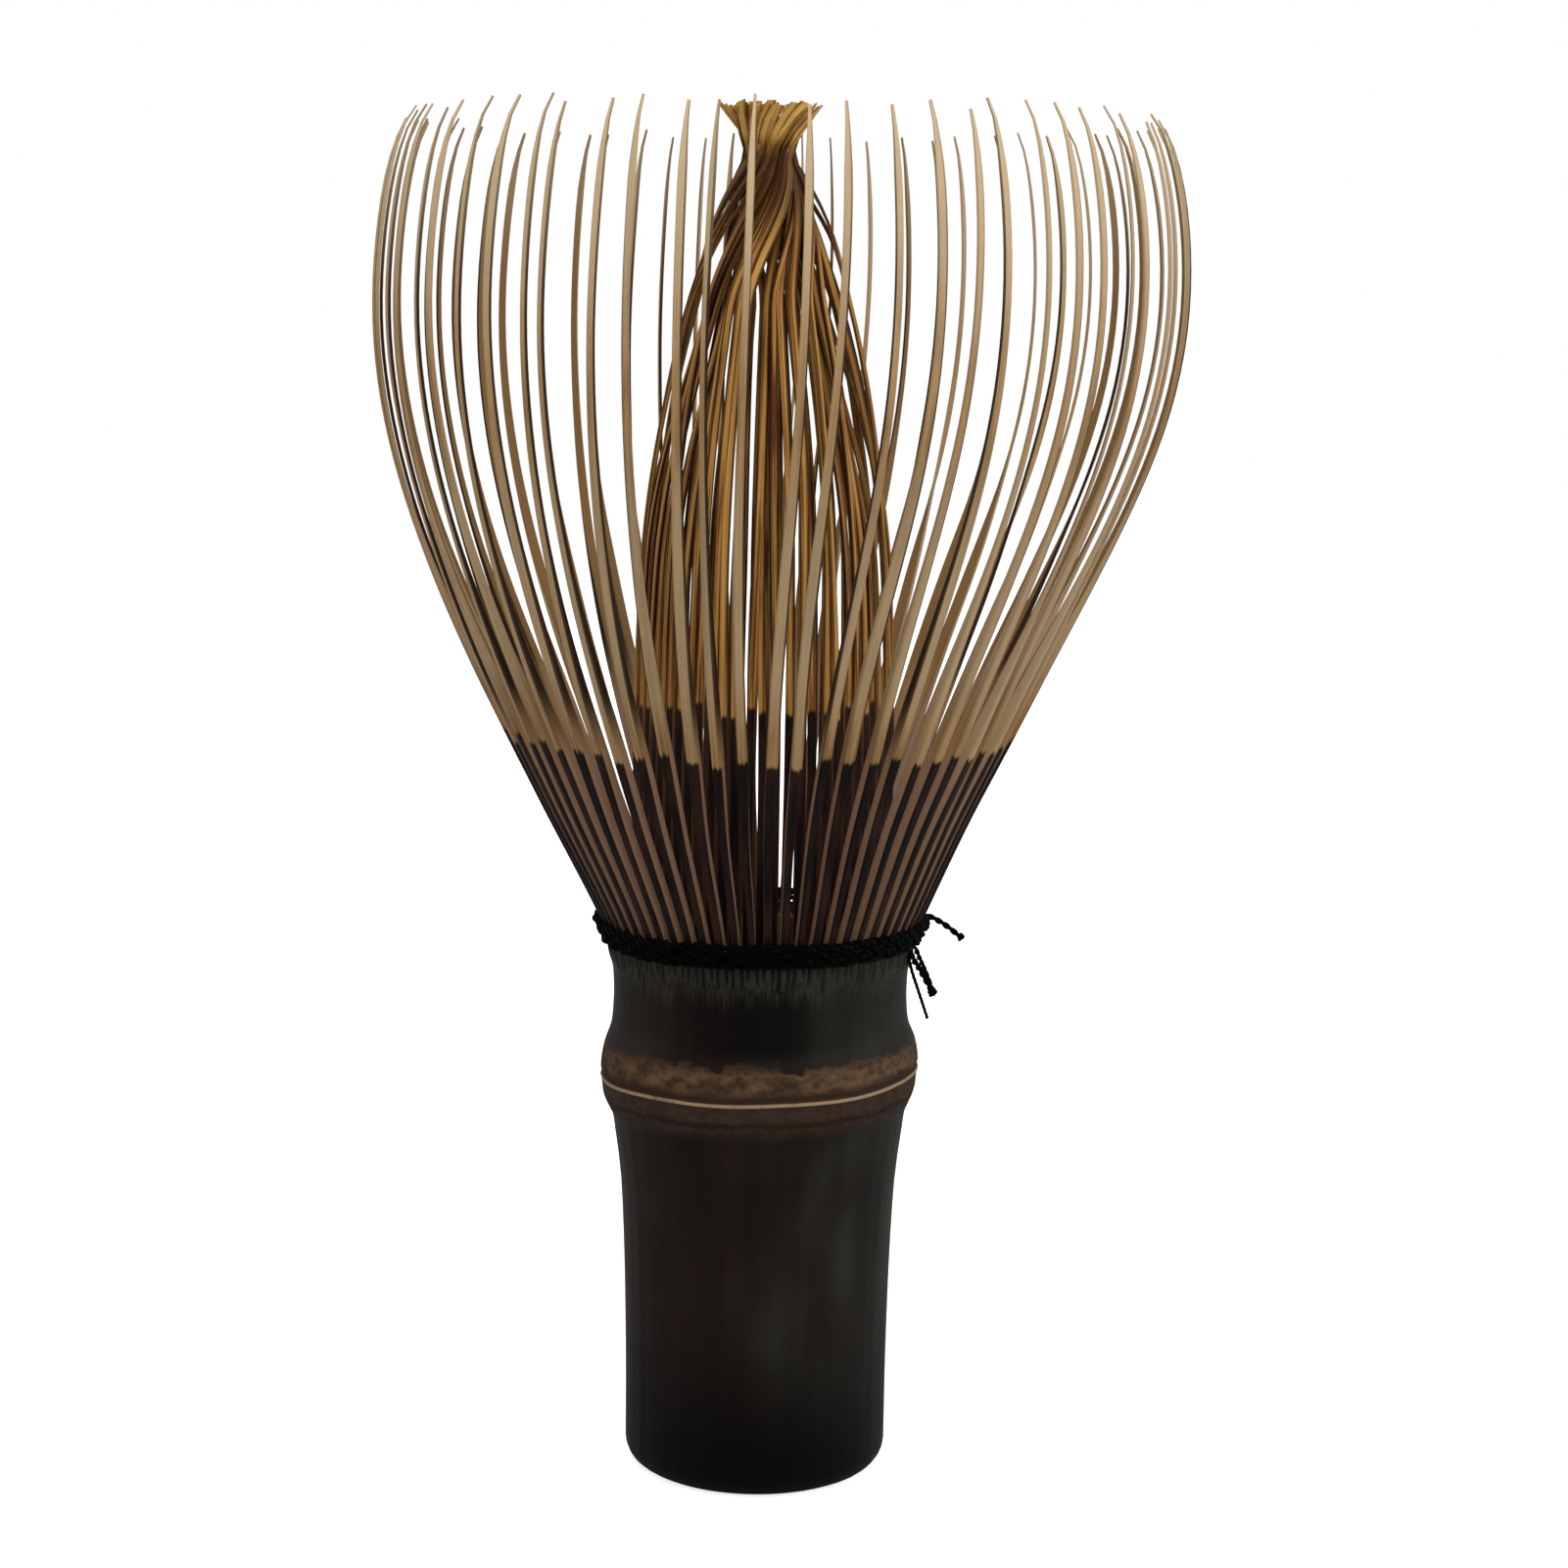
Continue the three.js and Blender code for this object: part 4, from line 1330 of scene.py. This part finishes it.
@dataclass
class ThreadWork:
    """Band woven round the tines, the loop inside it, its knot and its three cut ends.

    The ways of the cut ends are points of radius in millimetres, angle from +X and height in millimetres.
    """

    tine_count: int = 64
    diameter: float = 0.62 * MM
    courses: int = 4
    band_bottom: float = 44.85 * MM
    band_top: float = 46.95 * MM
    bottom_radius: float = 12.85 * MM
    top_radius: float = 13.75 * MM
    weave: float = 0.16 * MM
    steps_per_tine: int = 7
    loop_radius: float = 11.1 * MM
    loop_rise: float = 0.45 * MM
    loop_steps: int = 160
    loop_diameter: float = 0.5 * MM
    end_diameter: float = 0.52 * MM
    twin_diameter: float = 0.44 * MM
    loose_diameter: float = 0.3 * MM
    knot_size: float = 0.6 * MM
    knot_diameter: float = 0.38 * MM
    small_knot_size: float = 0.5 * MM
    small_knot_diameter: float = 0.34 * MM
    end_steps: int = 14
    tie: Spot = (13.6, -0.03, 46.2)
    upper: Way = ((13.1, 0.02, 47.0), (14.1, 0.06, 46.85), (15.4, 0.09, 46.1), (16.8, 0.1, 45.0))
    lower: Way = ((13.0, -0.34, 45.0), (13.15, -0.29, 44.1), (13.6, -0.2, 42.8), (14.4, -0.13, 41.0))
    twin: Way = ((13.3, -0.3, 45.2), (13.5, -0.25, 44.2), (13.9, -0.16, 42.7), (14.45, -0.13, 41.1))
    loose: Way = ((12.9, -0.34, 44.5), (13.1, -0.31, 43.2), (13.5, -0.27, 41.6), (14.2, -0.21, 39.0))

    def route(self, points: np.ndarray) -> bpy.types.Mesh:
        """Points joined by edges to one open line.

        Args:
            points: Points along the line, one to a row.

        Returns:
            A mesh of points and edges.
        """
        mesh = bpy.data.meshes.new("route")
        links = [(i, i + 1) for i in range(len(points) - 1)]
        mesh.from_pydata(np.asarray(points).tolist(), links, [])
        return mesh

    def band(self) -> np.ndarray:
        """The thread's way round the whisk, rising course by course and weaving over every second tine.

        Returns:
            Points along the thread, one to a row.
        """
        steps = self.courses * self.tine_count * self.steps_per_tine
        share = np.arange(steps + 1) / steps
        angle = share * self.courses * TURN
        weave = self.weave * np.sin(angle * self.tine_count / 2 + share * self.courses * math.pi)
        sag = 0.1 * MM * ripple(angle % TURN, (3, 5, 11, 19), 21)
        height = self.band_bottom + (self.band_top - self.band_bottom) * share + sag
        radius = self.bottom_radius + (self.top_radius - self.bottom_radius) * share + weave
        return np.column_stack([radius * np.cos(angle), radius * np.sin(angle), height])

    def loop(self) -> np.ndarray:
        """The inner loop, between the two rings of tines.

        Returns:
            Points along the thread, one to a row.
        """
        angle = np.linspace(0, 2 * TURN, 2 * self.loop_steps)
        height = self.band_bottom + self.loop_rise * (angle / TURN - 1)
        radius = self.loop_radius
        return np.column_stack([radius * np.cos(angle), radius * np.sin(angle), height])

    @staticmethod
    def knot(centre: Sequence[float], size: float) -> np.ndarray:
        """An overhand knot, pulled tight to a given size about its centre.

        Args:
            centre: Middle of the knot.
            size: Its width.

        Returns:
            Points along the thread, one to a row.
        """
        t = np.linspace(0, TURN, 60)
        shape = np.column_stack([
            np.sin(t) + 2 * np.sin(2 * t), -np.sin(3 * t) * 1.2, np.cos(t) - 2 * np.cos(2 * t)
        ])
        across = 6  # about the width of the bare curve
        return np.array(centre) + shape * size / across

    @staticmethod
    def around(radius: float, angle: float, height: float) -> tuple[float, float, float]:
        """The point at a radius and height in millimetres and an angle from +X."""
        return radius * math.cos(angle) * MM, radius * math.sin(angle) * MM, height * MM

    def line(self, way: Way) -> np.ndarray:
        """A smooth line through the points of a cut end's way."""
        return smooth_line([self.around(*spot) for spot in way], self.end_steps)

    def lay(
        self, tree: ShapeTree, name: str, points: np.ndarray, diameter: float, *nodes: str, plies: int = 2
    ) -> None:
        """Makes one run of thread, on the handle.

        Args:
            tree: Tree that lays the plies.
            name: Name of the piece.
            points: The thread's way.
            diameter: Its thickness.
            nodes: CAD nodes that it takes the place of.
            plies: How many plies are twisted together.
        """
        values = {
            "Plies": plies, "Diameter": diameter, "Lay Length": 1.6 * plies * diameter,
            "Material": SpunThread("black_cotton_thread").material(),
        }  # fmt: skip
        piece = tree.grow(name, values, self.route(points))
        piece.data.polygons.foreach_set("use_smooth", np.ones(len(piece.data.polygons), bool))
        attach(piece, "handle")
        if nodes:
            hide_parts(*nodes)
        report(piece)

    def build(self, tree: ShapeTree) -> None:
        """Makes every run of thread.

        Args:
            tree: Tree that lays the plies.
        """
        upper_knot = self.knot(self.around(*self.upper[-1]), self.small_knot_size)
        lower_knot = self.knot(self.around(*self.lower[-1]), self.knot_size)
        tie_knot = self.knot(self.around(*self.tie), self.knot_size)
        wraps = ("lower_thread_wrap", "upper_thread_wrap")
        self.lay(tree, "woven_thread_band", self.band(), self.diameter, *wraps)
        self.lay(tree, "spacer_thread_loop", self.loop(), self.loop_diameter, "inner_thread_loop")
        self.lay(tree, "band_tie_knot", tie_knot, self.knot_diameter, "thread_knot")
        self.lay(tree, "upper_cut_end", self.line(self.upper), self.end_diameter, "upper_thread_end")
        self.lay(tree, "upper_end_knot", upper_knot, self.small_knot_diameter)
        self.lay(tree, "lower_cut_end", self.line(self.lower), self.end_diameter, "lower_thread_end")
        self.lay(tree, "lower_cut_end_twin", self.line(self.twin), self.twin_diameter)
        self.lay(tree, "lower_end_knot", lower_knot, self.knot_diameter)
        loose = self.line(self.loose)
        self.lay(tree, "loose_thin_strand", loose, self.loose_diameter, "loose_thread_strand", plies=3)


# ---------------------------------------------------------------- studio


@dataclass
class Studio:
    """Camera, pale floor and soft light."""

    eye: tuple[float, float, float] = (1.74 * MM, -265 * MM, 98 * MM)
    pitch: float = math.radians(8.58)
    roll: float = math.radians(0.8)
    lens: float = 74.25
    floor_size: float = 3.0
    sky: float = 0.25
    middle: tuple[float, float, float] = (0.0, 0.0, 60 * MM)

    def camera(self) -> None:
        """A camera level with the belly of the whisk, looking slightly down."""
        data = bpy.data.cameras.new("camera")
        data.lens = self.lens
        data.sensor_width = 36.0
        data.clip_start, data.clip_end = 0.01, 20.0
        camera = show("camera", data)
        aim = Matrix.Rotation(math.pi / 2 - self.pitch, 4, "X") @ Matrix.Rotation(self.roll, 4, "Z")
        camera.matrix_world = Matrix.Translation(self.eye) @ aim
        bpy.context.scene.camera = camera

    def floor(self) -> None:
        """A sheet of white paper under the foot."""
        half, foot = self.floor_size / 2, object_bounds()[0].z
        corners = [(-half, -half, foot), (half, -half, foot), (half, half, foot), (-half, half, foot)]
        mesh = bpy.data.meshes.new("paper_floor")
        mesh.from_pydata(corners, [], [(0, 1, 2, 3)])
        mesh.materials.append(StudioPaper("white_paper").material())
        show("paper_floor", mesh)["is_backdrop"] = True

    def softbox(
        self, name: str, place: Sequence[float], size: float, power: float, gloss: bool = True
    ) -> None:
        """A soft square light that looks at the middle of the whisk and that the camera doesn't see.

        Args:
            name: Name of the light.
            place: Where it hangs.
            size: Length of its sides.
            power: Power in watts.
            gloss: Whether it shows in glossy surfaces.
        """
        data = bpy.data.lights.new(name, "AREA")
        data.shape, data.size, data.energy = "SQUARE", size, power
        light = show(name, data)
        way = Vector(self.middle) - Vector(place)
        light.matrix_world = Matrix.Translation(place) @ way.to_track_quat("-Z", "Y").to_matrix().to_4x4()
        light.visible_camera = False
        light.visible_glossy = gloss

    def light(self) -> None:
        """White all round, with soft boxes at both sides, overhead, in front and behind."""
        scene = bpy.context.scene
        scene.view_settings.view_transform = "Standard"
        scene.world = bpy.data.worlds.new("studio")
        scene.world.use_nodes = True
        tree = scene.world.node_tree
        tree.nodes.clear()
        seen = add_node(tree, "ShaderNodeLightPath", output="Is Camera Ray")
        glow = {"Color": (1.0, 1.0, 1.0, 1.0), "Strength": seen.ease(0.0, 1.0, self.sky, 1.0)}
        backdrop = add_node(tree, "ShaderNodeBackground", glow)
        add_node(tree, "ShaderNodeOutputWorld", {"Surface": backdrop})
        self.softbox("left_box", (-0.6, 0.0, 0.2), 0.9, 1.2)
        self.softbox("right_box", (0.6, -0.1, 0.2), 0.9, 2.6)
        self.softbox("top_box", (0.0, -0.35, 0.7), 0.5, 2.8, gloss=False)
        self.softbox("front_box", (0.12, -0.6, 0.32), 0.3, 0.7, gloss=False)
        self.softbox("back_box", (0.0, 0.6, 0.35), 0.5, 1.0)

    def build(self) -> None:
        """Sets up the studio."""
        self.camera()
        self.floor()
        self.light()


def outer_ring() -> TineRing:
    """The flared ring: tines that swell to the belly and curve in to pointed tips.

    Returns:
        The ring, with its finish and sizes.
    """
    return TineRing(
        ring=Ring.OUTER,
        finish=SplitBamboo("shaved_outer_bamboo"),
        path={
            "Root": (11.85, 0.0, 44.7),
            "Root Handle": (22.8, 0.0, 68.8),
            "Belly Handle": (32.5, 0.0, 82.0),
            "Belly": (32.5, 0.0, 98.0),
            "Belly Upper Handle": (32.5, 0.0, 103.8),
            "Tip Handle": (31.3, 0.0, 110.9),
            "Tip": (29.3, 0.0, 112.5),
        },
        sizes={
            "Root Width": 0.62 * MM, "Blade Width": 0.62 * MM, "Tip Width": 0.2 * MM,
            "Root Thickness": 1.1 * MM, "Blade Thickness": 0.26 * MM, "Tip Thickness": 0.14 * MM,
            "Angle Stray": math.radians(1.3), "Wander": 0.2 * MM, "Sway": 0.35 * MM,
            "Own Turn": math.radians(35), "Inset": 0.0, "Uneven Tips": 0.018,
            "Far Side Turn": math.radians(88), "Slim From": 0.9, "Stout To": 0.22,
            "Low Lean": -0.35 * MM, "Swell": 0.42,
            "Wrap Turn": 0.0, "Wrap Start": 0.1, "Belly Share": 0.795,
            "Lean": 1.15 * MM, "Lean Start": 66 * MM, "Lean End": 106 * MM,
        },  # fmt: skip
        segments=44,
        seed=100,
        first_angle_tines=-1.5,
    )


def inner_ring() -> TineRing:
    """The bundle: thin tines that stand upright, gather to a twisted neck and end in a tuft.

    Returns:
        The ring, with its finish and sizes.
    """
    return TineRing(
        ring=Ring.INNER,
        finish=SplitBamboo(
            "shaved_inner_bamboo",
            blade="#BE8A44", blade_deep="#5E300F", tip="#FFC86C", flank_shade="#2A0D05", flank_root="#6A4E3C",
            back="#C29A5A", skin_height=65.3, tip_from=109.8, tip_fade=1.4, dark_from=72.0,
            neck_shade=0.9, pale_flank=0.75, lines=0.8, fibre=0.2 * MM, rim_start=0.2, one_rim=0.3,
            top_dark=0.75, pale_share=0.3, softness=0.08, painted_light_below=0.0,
        ),  # fmt: skip
        path={
            "Root": (10.3, 0.0, 43.9),
            "Root Handle": (11.3, 0.0, 74.0),
            "Belly Handle": (10.2, 0.0, 96.0),
            "Belly": (1.9, 0.0, 108.9),
            "Belly Upper Handle": (1.65, 0.0, 109.7),
            "Tip Handle": (2.8, 0.0, 111.4),
            "Tip": (4.35, 0.0, 113.3),
        },
        sizes={
            "Root Width": 0.74 * MM, "Blade Width": 0.64 * MM, "Tip Width": 0.66 * MM,
            "Root Thickness": 0.5 * MM, "Blade Thickness": 0.28 * MM, "Tip Thickness": 0.16 * MM,
            "Angle Stray": math.radians(3.0), "Wander": 0.2 * MM, "Sway": 0.35 * MM,
            "Own Turn": math.radians(60), "Inset": 0.6, "Uneven Tips": 0.006,
            "Far Side Turn": 0.0, "Slim From": 0.8, "Stout To": 0.0, "Low Lean": 0.0, "Swell": 0.0,
            "Wrap Turn": math.radians(110), "Wrap Start": 97 * MM, "Belly Share": 0.93,
            "Lean": 0.0, "Lean Start": 66 * MM, "Lean End": 106 * MM,
        },  # fmt: skip
        segments=56,
        seed=300,
        first_angle_tines=-1.0,
    )


def main() -> None:
    """Builds the whisk's finished surfaces in order and the studio round them."""
    logging.basicConfig(level=logging.INFO, format="%(name)s: %(message)s")
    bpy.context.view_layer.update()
    Studio().build()
    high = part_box("culm_handle")[1]
    Culm(rim_height=high.z + RIM_UNDER_BAND, node_radius=high.x).build()
    tines = TineTree()
    outer_ring().build(tines)
    inner_ring().build(tines)
    ThreadWork().build(ThreadTree())


if __name__ == "__main__":
    main()
